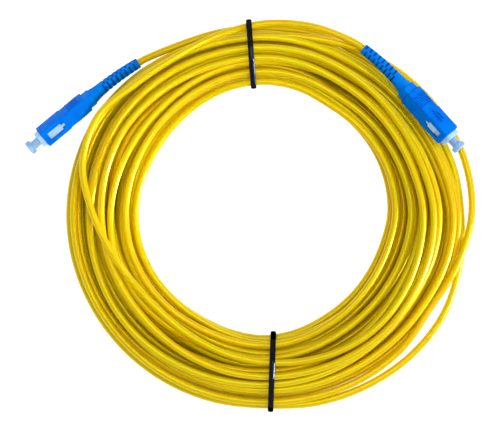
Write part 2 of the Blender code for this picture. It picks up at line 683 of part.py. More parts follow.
def tie_frame(name):
    """A tie's own frame: x is the radius along its upright plane and z is up."""
    angle = TIE_ANGLES[name]
    middle = Matrix.Translation(place(angle, TIE_MIDDLE, 0))
    turned_by = Matrix.Rotation(math.radians(angle + TIE_LEANS[name]), 4, "Z")
    return middle @ turned_by @ Matrix.Translation((-TIE_MIDDLE, 0, 0))


def crossings(points, frame):
    """Where the cord's straights cross a tie's upright plane, as (radius, height)."""
    back = frame.inverted()
    placed = [back @ p for p in points]
    found = []
    for p, q in zip(placed, placed[1:]):
        if p.y * q.y <= 0 and p.y != q.y and p.x > 0:
            at = p.lerp(q, p.y / (p.y - q.y))
            found.append((at.x, at.z))
    return found


def support_path(strands, offset, sides):
    """The convex outline round the bundle's section, as (point, outward direction) pairs."""
    found = []
    for i in range(sides):
        a = 2 * math.pi * (i + 0.5) / sides
        out = (math.cos(a), math.sin(a))
        r, z = max(strands, key=lambda s: s[0] * out[0] + s[1] * out[1])
        found.append(((r + offset * out[0], z + offset * out[1]), out))
    return found


def add_tie(name, points, mat):
    """A wire tie round the bundle, its ends twisted together and laid under the coil."""
    spin = tie_frame(name)
    strands = crossings(points, spin)
    offset = CORD_D / 2 + REST_GAP + TIE_T / 2
    section = rounded(0, (TIE_W / 2, TIE_T / 2), TIE_CORNER, 8)
    rings = []
    for (r, z), out in support_path(strands, offset, TIE_SIDES):
        rings.append([spin @ Vector((r + p.z * out[0], p.y, z + p.z * out[1])) for p in section])
    made = add_object(name, mesh_from(name, rings, joined=True), mat)
    middle = (min(strands)[0] + max(strands)[0]) / 2
    count = round(TIE_TWIST_TURNS * TIE_TWIST_POINTS)
    twist = []
    for i in range(count + 1):
        t = i / count
        turn = 2 * math.pi * TIE_TWIST_TURNS * t
        ring = []
        for k in range(8):
            a = 2 * math.pi * k / 8
            u, v = TIE_TWIST_R[0] * math.cos(a), TIE_TWIST_R[1] * math.sin(a)
            up = TIE_TWIST_R[0] + u * math.sin(turn) + v * math.cos(turn)
            ring.append(spin @ Vector((middle + u * math.cos(turn) - v * math.sin(turn),
                                       -TIE_TWIST_L * t, up)))
        twist.append(ring)
    combine(made, mesh_from(name + "_twist", twist, joined=False), "UNION")
    return made


# ---------------------------------------------------------------- assembly

def plug_frame_matrix(plug, height):
    """Where a connector lies: its front's place in the plan, its heading, pitch and roll."""
    x, y = plug["front"]
    at = Matrix.Translation((COIL_CENTRE[0] + x, COIL_CENTRE[1] + y, height))
    heading = Matrix.Rotation(math.radians(plug["heading"]), 4, "Z")
    pitch = Matrix.Rotation(math.radians(-plug.get("pitch", 0.0)), 4, "Y")
    return at @ heading @ pitch @ Matrix.Rotation(math.radians(plug["roll"]), 4, "X")


def half_height(plug):
    """How far the rolled housing reaches below its axis."""
    roll = math.radians(plug["roll"])
    y, z = HOUSING[0] - HOUSING_CORNER, HOUSING[1] - HOUSING_CORNER
    return abs(y * math.sin(roll)) + abs(z * math.cos(roll)) + HOUSING_CORNER


def height_over(plug, points):
    """Height of a connector's front axis that lets it rest on the cord's turns under it."""
    frame = plug_frame_matrix(plug, 0.0)
    slope = math.tan(math.radians(plug.get("pitch", 0.0)))
    forward = (frame.to_3x3() @ Vector((1, 0, 0))).to_2d().normalized()
    front = frame.translation.to_2d()
    boot = []
    for i in range(BOOT_REST_POINTS):
        x = BOOT_BASE_REAR + (BOOT_TAIL - BOOT_BASE_REAR) * i / (BOOT_REST_POINTS - 1)
        boot.append((frame @ bend(Vector((x, 0, 0)), plug), boot_outline(x) + CORD_D / 2))
    lowest = 0.0
    for a, b in zip(points, points[1:]):
        n = max(1, round((b - a).length / MM))
        for i in range(n):
            p = a.lerp(b, i / n)
            away = p.to_2d() - front
            x = away.dot(forward)
            d = abs(away.x * forward.y - away.y * forward.x)
            if BOOT_BASE_REAR < x < CAP_TIP and d < HOUSING[0] + CORD_D:
                deep = half_height(plug) + CORD_D / 2 * math.sqrt(2) - d
                lowest = max(lowest, p.z + deep + REST_GAP - x * slope)
            for spot, reach in boot:
                d = (p.to_2d() - spot.to_2d()).length
                if d < reach:
                    lowest = max(lowest, p.z + math.sqrt(reach**2 - d**2) + REST_GAP - spot.z)
    return lowest


for old in list(bpy.data.objects):
    bpy.data.objects.remove(old, do_unlink=True)

MATERIALS = {
    "blue": material("blue_plastic", (0.0, 0.21, 0.85), 0.35),
    "white": material("white_plastic", (0.86, 0.88, 0.9), 0.45),
    "cap": material("cap_plastic", (0.82, 0.88, 0.92), 0.35, alpha=0.85),
    "ceramic": material("ceramic", (0.93, 0.93, 0.9), 0.2),
    "steel": material("nickel", (0.62, 0.61, 0.58), 0.3, metallic=1.0),
    "buffer": material("buffer_plastic", (0.9, 0.9, 0.86), 0.45),
    "yellow": material("yellow_jacket", (0.93, 0.68, 0.03), 0.38),
    "black": material("black_tie", (0.012, 0.012, 0.014), 0.28),
}

height_a = half_height(PLUG_A) + FLOOR_GAP
frame_a = plug_frame_matrix(PLUG_A, height_a)
boot_beside = (frame_a @ bend(Vector((BOOT_TAIL + PASSING_AT, 0, 0)), PLUG_A)).to_2d()
BOOT_PASSES_AT = (boot_beside - Vector(COIL_CENTRE)).length
turns = laid_turns(height_a, 0.0)
height_b = height_over(PLUG_B, [place(*s) for s in turns[1:-2]])
frame_b = plug_frame_matrix(PLUG_B, height_b)
turns = laid_turns(height_a, (frame_b @ bend(Vector((BOOT_TAIL, 0, 0)), PLUG_B)).z)
route = [place(*s) for s in turns[1:]]

# The coil runs from the middle of its first straight to the middle of its last one.
half_gap = FIT / 2
start = route[0].lerp(route[1], 0.5)
start_along = (route[1] - route[0]).normalized()
end = route[-2].lerp(route[-1], 0.5)
end_along = (route[-1] - route[-2]).normalized()
coil_points = [start + half_gap * start_along] + route[1:-1] + [end - half_gap * end_along]
print_least_gap(coil_points)

plug_points_a = lead_route(PLUG_A, frame_a, CORD_D)
tail_a = (plug_points_a[-1] - plug_points_a[-2]).normalized()
straight_a = start - start_along * LEAD_STRAIGHT
lead_a = plug_points_a[:-1] + hermite(plug_points_a[-1], tail_a, straight_a, start_along, 3)
lead_a.append(start - half_gap * start_along)

plug_points_b = lead_route(PLUG_B, frame_b, CORD_D)
tail_b = (plug_points_b[-1] - plug_points_b[-2]).normalized()
straight_b = end + end_along * LEAD_STRAIGHT
lead_b = plug_points_b[:-1] + hermite(plug_points_b[-1], tail_b, straight_b, -end_along, 4)
lead_b.append(end + half_gap * end_along)

tube("cord_lead_a", lead_a, CORD_D / 2, MATERIALS["yellow"])
tube("cord_lead_b", lead_b, CORD_D / 2, MATERIALS["yellow"])

# The lowest turns are cut flat where they stand on the floor.
winding = tube("cord_coil_round", coil_points, CORD_D / 2, None, resolution=1)
coil_mesh = evaluated(winding)
bpy.data.objects.remove(winding, do_unlink=True)
for vertex in coil_mesh.vertices:
    vertex.co.z = max(vertex.co.z, 0.0)
coil_mesh.shade_smooth()
add_object("cord_coil", coil_mesh, MATERIALS["yellow"])

for tie_name in TIE_ANGLES:
    add_tie(tie_name, coil_points, MATERIALS["black"])

add_plug("a", PLUG_A, frame_a, MATERIALS)
add_plug("b", PLUG_B, frame_b, MATERIALS)

print(f"plug a: front axis at {[round(v / MM, 2) for v in frame_a.translation]} mm, forward "
      f"{[round(v, 5) for v in frame_a.to_3x3() @ Vector((1, 0, 0))]}")
print(f"plug b: front axis at {[round(v / MM, 2) for v in frame_b.translation]} mm, forward "
      f"{[round(v, 5) for v in frame_b.to_3x3() @ Vector((1, 0, 0))]}")
print(f"coil: highest centre {max(p.z for p in coil_points) / MM:.1f} mm")
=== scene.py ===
"""The looks of the fibre optic patch cord: finishes, finer shapes of its pieces, light and camera.

The cord is one unbroken tube from crimp to crimp, on the route that the solids follow. The
connectors' pieces are made in millimetres in the connector's own frame (x forward, 0 at the outer
housing's front, z towards its key), and then carried to where the frame says.
"""
import json
import math

import bmesh
import bpy
from mathutils import Matrix, Vector


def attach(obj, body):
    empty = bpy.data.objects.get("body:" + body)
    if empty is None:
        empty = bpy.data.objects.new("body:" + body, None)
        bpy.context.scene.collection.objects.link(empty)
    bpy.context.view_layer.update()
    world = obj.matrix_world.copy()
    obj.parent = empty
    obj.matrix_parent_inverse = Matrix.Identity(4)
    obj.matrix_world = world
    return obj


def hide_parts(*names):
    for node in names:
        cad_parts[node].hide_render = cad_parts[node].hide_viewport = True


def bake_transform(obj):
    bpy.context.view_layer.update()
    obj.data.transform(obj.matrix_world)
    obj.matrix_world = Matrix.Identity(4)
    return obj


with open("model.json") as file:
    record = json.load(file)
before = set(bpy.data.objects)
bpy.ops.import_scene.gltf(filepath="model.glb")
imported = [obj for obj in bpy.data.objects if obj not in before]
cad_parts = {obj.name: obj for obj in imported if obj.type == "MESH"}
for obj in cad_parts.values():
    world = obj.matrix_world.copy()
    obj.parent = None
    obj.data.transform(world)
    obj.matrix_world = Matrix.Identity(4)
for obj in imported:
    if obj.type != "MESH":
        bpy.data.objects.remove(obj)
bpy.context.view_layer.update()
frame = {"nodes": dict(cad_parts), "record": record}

MM = 0.001

# ---------------------------------------------------------------- the route's sizes
# They are the same as in the solids' source, so that the cord lies where the solids do.
CORD_D = 3.0 * MM
CORD_SPACING = 0.5 * MM         # least gap that is kept between two turns
PLAY = 0.3                      # in millimetres, between pieces that touch on the real product
FLOOR_CUT = CORD_D / 10         # depth of the flat on which the lowest turns stand
COIL_CENTRE = (6.41 * MM, 1.39 * MM)
STATIONS = 24                   # points on each turn
STRAIGHT_PARTS = 4              # in which each straight between two points is laid
START_ANGLE = 130.4             # where the cord leaves connector A's boot
END_ANGLE = 59.3                # where it enters connector B's boot
FULL_TURNS = 23
OUTER_EDGE = (                  # (angle, radius in mm) of the bundle's outer turns
    (0, 85.0), (15, 81.5), (30, 78.5), (60, 76.0), (90, 76.2), (110, 76.6), (130, 79.0),
    (150, 82.2), (180, 83.0), (210, 82.8), (240, 81.8), (270, 81.0), (300, 81.8), (330, 84.0),
    (345, 85.6))
INNER_EDGE = (                  # and of its inner turns
    (0, 52.4), (30, 52.4), (60, 52.0), (80, 54.2), (100, 54.6), (120, 53.8), (150, 53.0),
    (190, 54.0), (240, 51.8), (270, 53.0), (300, 51.6), (340, 51.0))
FIRST_TURN = (                  # (angle, radius in mm): the loose outer loop from connector A
    (130.4, 82.3), (120, 80.6), (110, 79.0), (100, 78.0), (90, 77.6), (78, 78.2), (69, 78.2),
    (60, 77.9), (45, 77.9), (30, 79.4), (18, 81.4), (10, 82.4), (3, 82.7), (-4, 83.5),
    (-10, 84.6), (-16, 85.6), (-22, 86.5), (-33, 87.3), (-42, 86.9), (-50, 86.1), (-58, 85.3),
    (-66, 84.5), (-75, 83.5), (-82, 82.6), (-92, 81.6), (-110, 82.2), (-150, 82.8),
    (-185, 82.4), (-220, 79.0), (-260, 74.0))
LAST_TURN = (                   # the turn on top, which sweeps out over the others to B
    (60, 71.0), (22, 71.4), (-10, 70.6), (-45, 68.4), (-75, 65.0), (-108, 61.8), (-125, 60.9),
    (-142, 61.4), (-157, 64.4), (-171, 68.9), (-180, 72.9), (-190, 77.8), (-197, 80.2),
    (-205, 81.5), (-214, 80.5), (-225, 76.8), (-232, 75.5), (-241, 75.5), (-252, 76.6),
    (-262, 78.2), (-270, 79.6), (-285, 80.9), (-300.7, 79.9))
LOOSE_TURN = (                  # a turn between the layers that strays out past the others
    (95, 74.8), (80, 75.6), (70, 77.2), (60, 79.3), (50, 81.3), (40, 83.1), (30, 85.2), (18, 86.9),
    (9, 88.0), (3, 87.8), (-5, 87.0), (-13, 85.1), (-19, 83.3), (-25, 81.9), (-33, 80.4),
    (-45, 80.0), (-60, 80.6))
LAYER_TURNS = (0.9, 6.52, 11.49, 16.98, 20.8)   # turns at which the spiral's five layers begin
TOP_LAYER_RATE = 0.195          # share of the bundle's width that the top two cross per turn
FIRST_TURN_JOINS = (0.75, 1.1)  # turns between which the first turn joins the spiral
LOOSE_TURN_SPAN = (11.1, 11.17, 11.44, 11.52)   # it leaves over the first two, joins over the last
LAST_TURN_LEAVES = (22.3, 22.55)        # turns between which the last turn leaves the spiral
LEAD_SETTLES = 75               # angle over which the cord comes down from connector A
PASSING_AT = 6.5                # where later turns pass connector A's boot, from its tail, in mm
SWAY = (                        # (size, waves per turn, phase) of the turns' unsteadiness
    (1.3 * MM, 2.11, 4.8), (0.9 * MM, 2.61, 0.8), (0.5 * MM, 2.13, 0.7))
SWAY_HELD = 60                  # angle each side of a tie within which it steadies the turns
TIE_ANGLES = {"tie_top": 95, "tie_bottom": 272.5}
TIE_LEANS = {"tie_top": -0.7, "tie_bottom": -4.6}   # how far each is turned from its radius
TIE_MIDDLE = 67.5 * MM          # the radius at which it turns
TIE_TWIST_R = 1.3 * MM          # half width of the solids' twisted ends, which the cord clears
TIE_LIFT_FLAT = 12              # angle each side of a tie over which the cord is lifted
TIE_LIFT_END = 42               # angle by which it is back on the floor

# The connector, in millimetres: sections are half sizes (across, high)
HOUSING_L = 24.0
HOUSING = (4.5, 3.7)
HOUSING_WAIST = 0.25            # how far the grip behind the front block is drawn in
HOUSING_CORNER = 0.7
HOUSING_FRONT_EDGE, HOUSING_REAR_EDGE = 0.45, 0.3
HOUSING_BLOCK_L, HOUSING_STEP_L = 12.0, 0.5
HOUSING_RIBS = 7
HOUSING_RIB_PITCH = 0.9
HOUSING_RIB_FROM = 15.6
HOUSING_RIB_LEAD = 0.1          # plain grip in front of the ribs and behind them
HOUSING_RIB_SHAPE = (           # (share of the pitch, how far the ridge stands up)
    (0.0, 0.0), (0.1, 0.15), (0.18, HOUSING_WAIST), (0.42, HOUSING_WAIST), (0.5, 0.15), (0.6, 0.0))
HOUSING_SOFTENED = 0.1          # width of its softened edges
CAVITY = (3.8, 3.1)
KEY_FROM, KEY_TO = 5.8, 11.9
KEY_W, KEY_H = 2.2, 0.9
KEY_ROOT = 0.3                  # how deep the key is set in the wall
KEY_RAMP_L, KEY_RAMP_H = 0.5, 0.35
KEY_REAR_EDGE = 0.2
KEY_SLOT_W, KEY_SLOT_H = 0.85, 0.8
KEY_SLOT_WALL = 0.8             # left in front of the slot along the key, and behind it
WINDOW_FROM, WINDOW_TO, WINDOW_W = 2.6, 9.4, 3.4
WINDOW_SLOT_TO, WINDOW_SLOT_W = 10.9, 1.5
SLIDE_TRAVEL = 2.0              # how far the housing slides back on its frame
FRAME = (3.5, 2.8)
FRAME_FRONT, FRAME_REAR = 2.0, -19.0
FRAME_CORNER = 0.6
FRAME_EDGE = 0.4
FRAME_SOFTENED = 0.08
PAD_W, PAD_H, PAD_STEP_H = 2.8, 0.7, 0.2
SOCKET_R, SOCKET_EDGE = 2.25, 0.3       # the frame's mouth round the ferrule
BULKHEAD = (-1.2, -2.4)
FERRULE_R, FERRULE_TIP = 1.25, 5.8
FLANGE_REAR = -5.2
SPRING_R, SPRING_WIRE_R, SPRING_CURLS = 1.83, 0.18, 7.5
SPRING_POINTS, SPRING_SIDES = 28, 10    # on each curl, and round the wire
STOP_FRONT, STOP_R, STOP_REAR = -13.0, 2.0, -26.2
CRIMP_BORE_R, CRIMP_REAR = 2.4, -29.8
BOOT_FRONT, BOOT_BASE_REAR = -22.0, -27.3
BOOT_CONE_R = 3.35
BOOT_CONE_FACE = 0.4            # how far the cone may stand out of the base where they meet
BOOT_RIB_FROM, BOOT_RIB_R = -32.6, 2.7
BOOT_TAIL, BOOT_TAIL_R, BOOT_BORE_R = -51.6, 2.25, 1.75
BOOT_EDGE = 0.3
BOOT_CONE_RINGS, BOOT_RIB_RINGS, BOOT_SIDES = 8, 40, 48
BOOT_SLOTS = 8                  # slots on each of its four sides
BOOT_SLOT_W = 0.7
BOOT_SLOT_FLOOR = 0.06          # wall left between a slot's floor and the bore
BEND_FROM = -31.0               # the boot curves from here to its tail
CAP_TIP, CAP_BORE_R, CAP_R = 7.5, 1.52, 1.88
CAP_KNOB_R, CAP_KNOB_L = 3.0, 2.3
KEY_SIDE_MOUNT_AT = 3.0         # how far behind the housing's front that mount stands
PLUGS = {"a": {"bend": 9.0, "roll": -112.0}, "b": {"bend": -9.7, "roll": -45.0}}


# ---------------------------------------------------------------- geometry helpers

def smoothstep(t):
    """A value that rises smoothly from 0 to 1 as t does, and holds at either end."""
    t = min(1.0, max(0.0, t))
    return t * t * (3 - 2 * t)


def through(knots, x):
    """The smooth curve through (x, y) knots with rising x."""
    i = 0
    while i < len(knots) - 2 and x > knots[i + 1][0]:
        i += 1
    (x0, y0), (x1, y1) = knots[i], knots[i + 1]
    before = knots[i - 1] if i else knots[0]
    after = knots[i + 2] if i + 2 < len(knots) else knots[-1]
    h = x1 - x0
    t = (x - x0) / h
    m0 = (y1 - before[1]) / (x1 - before[0]) * h
    m1 = (after[1] - y0) / (after[0] - x0) * h
    return ((2 * t**3 - 3 * t**2 + 1) * y0 + (t**3 - 2 * t**2 + t) * m0
            + (3 * t**2 - 2 * t**3) * y1 + (t**3 - t**2) * m1)


def around(knots, angle):
    """The same curve through knots that repeat every 360 degrees, in metres."""
    wrapped = ([(a - 360, r) for a, r in knots[-2:]] + list(knots)
               + [(a + 360, r) for a, r in knots[:3]])
    return through(wrapped, angle % 360) * MM


def curved(points, spacing):
    """Points at about a spacing along the smooth curve that passes through the given ones."""
    never_zero = 1e-9
    found = []
    for i in range(len(points) - 1):
        p0, p1, p2, p3 = (points[min(max(k, 0), len(points) - 1)] for k in range(i - 1, i + 3))
        a, b, c = (math.sqrt(max((q - p).length, never_zero))
                   for p, q in ((p0, p1), (p1, p2), (p2, p3)))
        m1 = p2 - p1
        if i:
            m1 = b * ((p1 - p0) / a - (p2 - p0) / (a + b) + (p2 - p1) / b)
        m2 = p2 - p1
        if i < len(points) - 2:
            m2 = b * ((p2 - p1) / b - (p3 - p1) / (b + c) + (p3 - p2) / c)
        steps = max(1, round((p2 - p1).length / spacing))
        for k in range(steps):
            t = k / steps
            found.append((2 * t**3 - 3 * t**2 + 1) * p1 + (t**3 - 2 * t**2 + t) * m1
                         + (3 * t**2 - 2 * t**3) * p2 + (t**3 - t**2) * m2)
    found.append(points[-1].copy())
    return found


# ---------------------------------------------------------------- where the connectors lie

def plug_matrix(suffix):
    """A connector's own frame, in metres, from the record's mounts."""
    mounts = {m["name"]: m for m in frame["record"]["mounts"]}
    side = mounts[f"housing_key_side_{suffix}"]
    x = Vector(mounts[f"frame_front_{suffix}"]["axis"]).normalized()
    z = Vector(side["axis"]).normalized()
    y = z.cross(x)
    origin = Vector(side["pos_m"]) + (KEY_SIDE_MOUNT_AT * x - HOUSING[1] * z) * MM
    return Matrix.Translation(origin) @ Matrix((x, y, z)).transposed().to_4x4()


def bend(p, plug):
    """Carry a point of the straight boot, in millimetres, to its place on the curved one."""
    along = BEND_FROM - p.x
    if along <= 0:
        return p.copy()
    total = math.radians(plug["bend"])
    length = BEND_FROM - BOOT_TAIL
    turn = total * min(along, length) / length
    radius = length / total
    centre = Vector((BEND_FROM - radius * math.sin(turn), radius * (1 - math.cos(turn)), 0))
    past = max(0.0, along - length)
    centre += past * Vector((-math.cos(turn), math.sin(turn), 0))
    side = Vector((math.sin(turn), math.cos(turn), 0))
    roll = Matrix.Rotation(math.radians(plug["roll"]), 3, "X")
    level = roll @ Vector((0, p.y, p.z))
    return roll.inverted() @ (centre + side * level.y + Vector((0, 0, level.z)))


def boot_point(suffix, x):
    """A point on the boot's middle line, in metres."""
    return PLUGS[suffix]["matrix"] @ (bend(Vector((x, 0, 0)), PLUGS[suffix]) * MM)


for plug_name, plug_facts in PLUGS.items():
    plug_facts["matrix"] = plug_matrix(plug_name)


# ---------------------------------------------------------------- the cord's route

def layer_share(turn):
    """How far out in the bundle's width the spiral is, 0 at its inner edge and 1 at its outer."""
    first, second, third, fourth, fifth = LAYER_TURNS
    if turn < second:
        return min(1.0, 1 - (turn - first) / (second - first))
    if turn < third:
        return (turn - second) / (third - second)
    if turn < fourth:
        return 1 - (turn - third) / (fourth - third)
    return (fifth - fourth - abs(turn - fifth)) * TOP_LAYER_RATE


def tie_distance(angle):
    """Angle to the nearest tie, in degrees."""
    return min(abs((angle - tie + 180) % 360 - 180) for tie in TIE_ANGLES.values())


def drawn(knots, turn):
    """The radius of a turn drawn through its listed knots, in metres."""
    return through([(-a, r) for a, r in knots], 360 * turn - START_ANGLE) * MM


def coil_radius(turn):
    """Radius of the cord's centre line after so many turns from connector A's boot."""
    angle = START_ANGLE - 360 * turn
    share = layer_share(turn)
    inner, outer = around(INNER_EDGE, angle), around(OUTER_EDGE, angle)
    sway = sum(size * math.sin(2 * math.pi * rate * turn + phase) for size, rate, phase in SWAY)
    sway *= smoothstep(tie_distance(angle) / SWAY_HELD) * 4 * max(0.0, share * (1 - share))
    radius = inner + share * (outer - inner) + sway
    joins, joined = FIRST_TURN_JOINS
    if turn < joined:
        hand = drawn(FIRST_TURN, turn)
        radius = hand + (radius - hand) * smoothstep((turn - joins) / (joined - joins))
    starts, started, ends, ended = LOOSE_TURN_SPAN
    if starts < turn < ended:
        loose = smoothstep((turn - starts) / (started - starts))
        loose *= smoothstep((ended - turn) / (ended - ends))
        radius += (drawn(LOOSE_TURN, turn - int(starts)) - radius) * loose
    leaves, left = LAST_TURN_LEAVES
    if turn > leaves:
        hand = drawn(LAST_TURN, turn - FULL_TURNS + 1)
        radius += (hand - radius) * smoothstep((turn - leaves) / (left - leaves))
    return radius


def floor_height(angle):
    """The cord's least height: on the floor, or over a tie's twisted ends."""
    away = tie_distance(angle)
    lift = 1 - smoothstep((away - TIE_LIFT_FLAT) / (TIE_LIFT_END - TIE_LIFT_FLAT))
    over_tie = 2 * TIE_TWIST_R + PLAY * MM + CORD_D / 2
    low = CORD_D / 2 - FLOOR_CUT
    return low + lift * (over_tie - low)


def laid_turns():
    """The cord's stations (angle, radius, height), each turn laid on those wound before it."""
    height_at_a = PLUGS["a"]["matrix"].translation.z
    height_at_b = boot_point("b", BOOT_TAIL).z
    beside = boot_point("a", BOOT_TAIL + PASSING_AT).to_2d() - Vector(COIL_CENTRE)
    step = 360 / STATIONS
    first = math.floor(START_ANGLE / step) * step
    last = math.ceil(END_ANGLE / step) * step - 360 * FULL_TURNS
    count = round((first - last) / step) + 1
    angles = [first + step] + [first - step * i for i in range(count)]
    radii = [beside.length] + [coil_radius((START_ANGLE - a) / 360) for a in angles[1:]]
    reach = [CORD_D + CORD_SPACING] * len(angles)
    reach[0] = BOOT_TAIL_R * MM + CORD_D / 2 + CORD_SPACING
    heights = []

    def need(at):
        """The height that the turns below ask for at a station, or part of the way to the next."""
        i, t = int(at), at - int(at)
        if i + 1 >= len(angles):
            i, t = len(angles) - 2, 1.0
        radius = radii[i] + t * (radii[i + 1] - radii[i])
        least = floor_height(angles[i] - t * step)
        below = i - STATIONS
        while below >= 0:
            r = radii[below] + t * (radii[below + 1] - radii[below])
            z = heights[below] + t * (heights[below + 1] - heights[below])
            clear = max(reach[below], reach[below + 1])
            apart = abs(radius - r)
            if apart < clear:
                least = max(least, z + math.sqrt(clear**2 - apart**2))
            below -= STATIONS
        return least

    def crest(i):
        """The most that is asked for within half a straight of a station."""
        half = STRAIGHT_PARTS // 2
        here = [i + k / STRAIGHT_PARTS for k in range(-half, half + 1)]
        return max(need(at) for at in here if at >= 0)

    for i in range(len(angles)):
        ahead = min(i + 1, len(angles) - 1)
        height = 0.25 * crest(max(i - 1, 0)) + 0.5 * crest(i) + 0.25 * crest(ahead)
        from_a = 1 - smoothstep((START_ANGLE - angles[i]) / LEAD_SETTLES)
        height = max(height, height + (height_at_a - height) * from_a)
        to_b = smoothstep((START_ANGLE - angles[i]) / 360 - FULL_TURNS + 1)
        height = max(height, height_at_b * to_b)
        heights.append(max(height, need(i)))
        if not i:
            continue
        for k in range(1, STRAIGHT_PARTS):
            t = k / STRAIGHT_PARTS
            short = need(i - 1 + t) - (heights[i - 1] * (1 - t) + heights[i] * t)
            if short > 0:
                heights[i - 1] += short
                heights[i] += short
    return list(zip(angles, radii, heights))


def place(angle, radius, height):
    """The point at an angle and radius in the coil's plan, at a height."""
    a = math.radians(angle)
    return Vector((COIL_CENTRE[0] + radius * math.cos(a),
                   COIL_CENTRE[1] + radius * math.sin(a), height))


def cord_route():
    """The whole cord's route, from connector A's crimp to connector B's."""
    stations = [place(*s) for s in laid_turns()[1:]]
    parts = 4
    boot_stops = [STOP_REAR - PLAY]
    boot_stops += [BEND_FROM + (BOOT_TAIL - BEND_FROM) * i / parts for i in range(parts + 1)]
    boot_stops.append(BOOT_TAIL - CORD_D / MM)
    leaving = [boot_point("a", x) for x in boot_stops]
    arriving = [boot_point("b", x) for x in reversed(boot_stops)]
    return leaving + stations[1:-1] + arriving


# ---------------------------------------------------------------- materials

def material(name, **sockets):
    """A new material whose shader has these values; underscores stand for the sockets' spaces."""
    made = bpy.data.materials.new(name)
    made.use_nodes = True
    shader = made.node_tree.nodes["Principled BSDF"]
    for socket, value in sockets.items():
        shader.inputs[socket.replace("_", " ")].default_value = value
    return made


def node(tree, kind, inputs=None, **properties):
    """A new node; its inputs are values or other nodes' output sockets."""
    made = tree.nodes.new(kind)
    for key, value in properties.items():
        setattr(made, key, value)
    for key, value in (inputs or {}).items():
        socket = made.inputs[key]
        if isinstance(value, bpy.types.NodeSocket):
            tree.links.new(value, socket)
        else:
            socket.default_value = value
    return made


def noise(tree, where, scale, detail=2.0, stretch=(1, 1, 1)):
    """Noise over the places that where gives; a small stretch draws it out along that axis."""
    scaled = node(tree, "ShaderNodeMapping", {"Vector": where, "Scale": stretch})
    made = node(tree, "ShaderNodeTexNoise",
                {"Vector": scaled.outputs["Vector"], "Scale": scale, "Detail": detail})
    return made.outputs["Fac"]


def ramp(tree, factor, stops):
    """A colour ramp over (position, colour) stops."""
    made = node(tree, "ShaderNodeValToRGB", {"Fac": factor})
    while len(made.color_ramp.elements) < len(stops):
        made.color_ramp.elements.new(0.5)
    for element, (at, color) in zip(made.color_ramp.elements, stops):
        element.position = at
        element.color = (*color, 1)
    return made.outputs["Color"]


def spread(tree, factor, low, high):
    """Spread a noise's middle range over low to high."""
    made = node(tree, "ShaderNodeMapRange",
                {"Value": factor, "From Min": 0.3, "From Max": 0.7, "To Min": low, "To Max": high})
    return made.outputs["Result"]


def calculated(tree, operation, *values):
    """The result of one operation on values or other nodes' outputs."""
    inputs = dict(enumerate(values))
    return node(tree, "ShaderNodeMath", inputs, operation=operation).outputs["Value"]


def mixed(tree, share, one, other):
    """A share of one value and the rest of the other."""
    return calculated(tree, "ADD", calculated(tree, "MULTIPLY", one, share),
                      calculated(tree, "MULTIPLY", other, 1 - share))


def bump(tree, shader, layers):
    """Stack bumps, each (height, depth in metres), on the shader's normal."""
    normal = None
    for height, depth in layers:
        inputs = {"Height": height, "Distance": depth, "Strength": 1.0}
        if normal:
            inputs["Normal"] = normal
        normal = node(tree, "ShaderNodeBump", inputs).outputs["Normal"]
    tree.links.new(normal, shader.inputs["Normal"])


JACKET_HUES = ((0.34, (0.80, 0.515, 0.0)), (0.5, (0.79, 0.59, 0.0)), (0.66, (0.78, 0.655, 0.0)))
JACKET_ROUGHNESS = (0.17, 0.29)
JACKET_LINES, JACKET_GRAIN, JACKET_WAVES = 0.016 * MM, 0.01 * MM, 0.06 * MM     # bumps' depths


def jacket_material():
    """Extruded yellow jacket: faint draw lines along it, soft unevenness, slight shifts in hue."""
    made = material("jacket", Specular_IOR_Level=0.2, Metallic=0.16, Subsurface_Weight=0.4,
                    Subsurface_Scale=1.8 * MM, Subsurface_Radius=(1.0, 0.6, 0.08),
                    Specular_Tint=(1.0, 0.88, 0.62, 1))
    tree = made.node_tree
    shader = tree.nodes["Principled BSDF"]
    uv = node(tree, "ShaderNodeUVMap", uv_map="along").outputs["UV"]
    split = node(tree, "ShaderNodeSeparateXYZ", {"Vector": uv})
    turn = calculated(tree, "MULTIPLY", split.outputs["Y"], 2 * math.pi)
    lengthwise = node(tree, "ShaderNodeCombineXYZ",
                      {"X": split.outputs["X"], "Y": calculated(tree, "COSINE", turn),
                       "Z": calculated(tree, "SINE", turn)}).outputs["Vector"]
    places = node(tree, "ShaderNodeTexCoord").outputs["Object"]
    drift = noise(tree, lengthwise, 1.0, 3.0, (9, 0.25, 0.25))
    mottle = noise(tree, places, 420, 3.0)
    color = ramp(tree, mixed(tree, 0.7, drift, mottle), JACKET_HUES)
    tree.links.new(color, shader.inputs["Base Color"])
    lines = noise(tree, lengthwise, 1.0, 2.0, (14, 7, 7))
    tree.links.new(spread(tree, mixed(tree, 0.6, lines, mottle), *JACKET_ROUGHNESS),
                   shader.inputs["Roughness"])
    grain = noise(tree, places, 2600, 3.0)
    waves = noise(tree, lengthwise, 1.0, 1.0, (60, 0.6, 0.6))
    bump(tree, shader, ((lines, JACKET_LINES), (grain, JACKET_GRAIN), (waves, JACKET_WAVES)))
    return made


MIX_A, MIX_B, MIX_RESULT = 6, 7, 2      # a Mix node's colour sockets
PAINTED_HOLLOW_SHADE = 0.4              # how bright the painted shade at the bottom of a hollow is, as a share of the colour
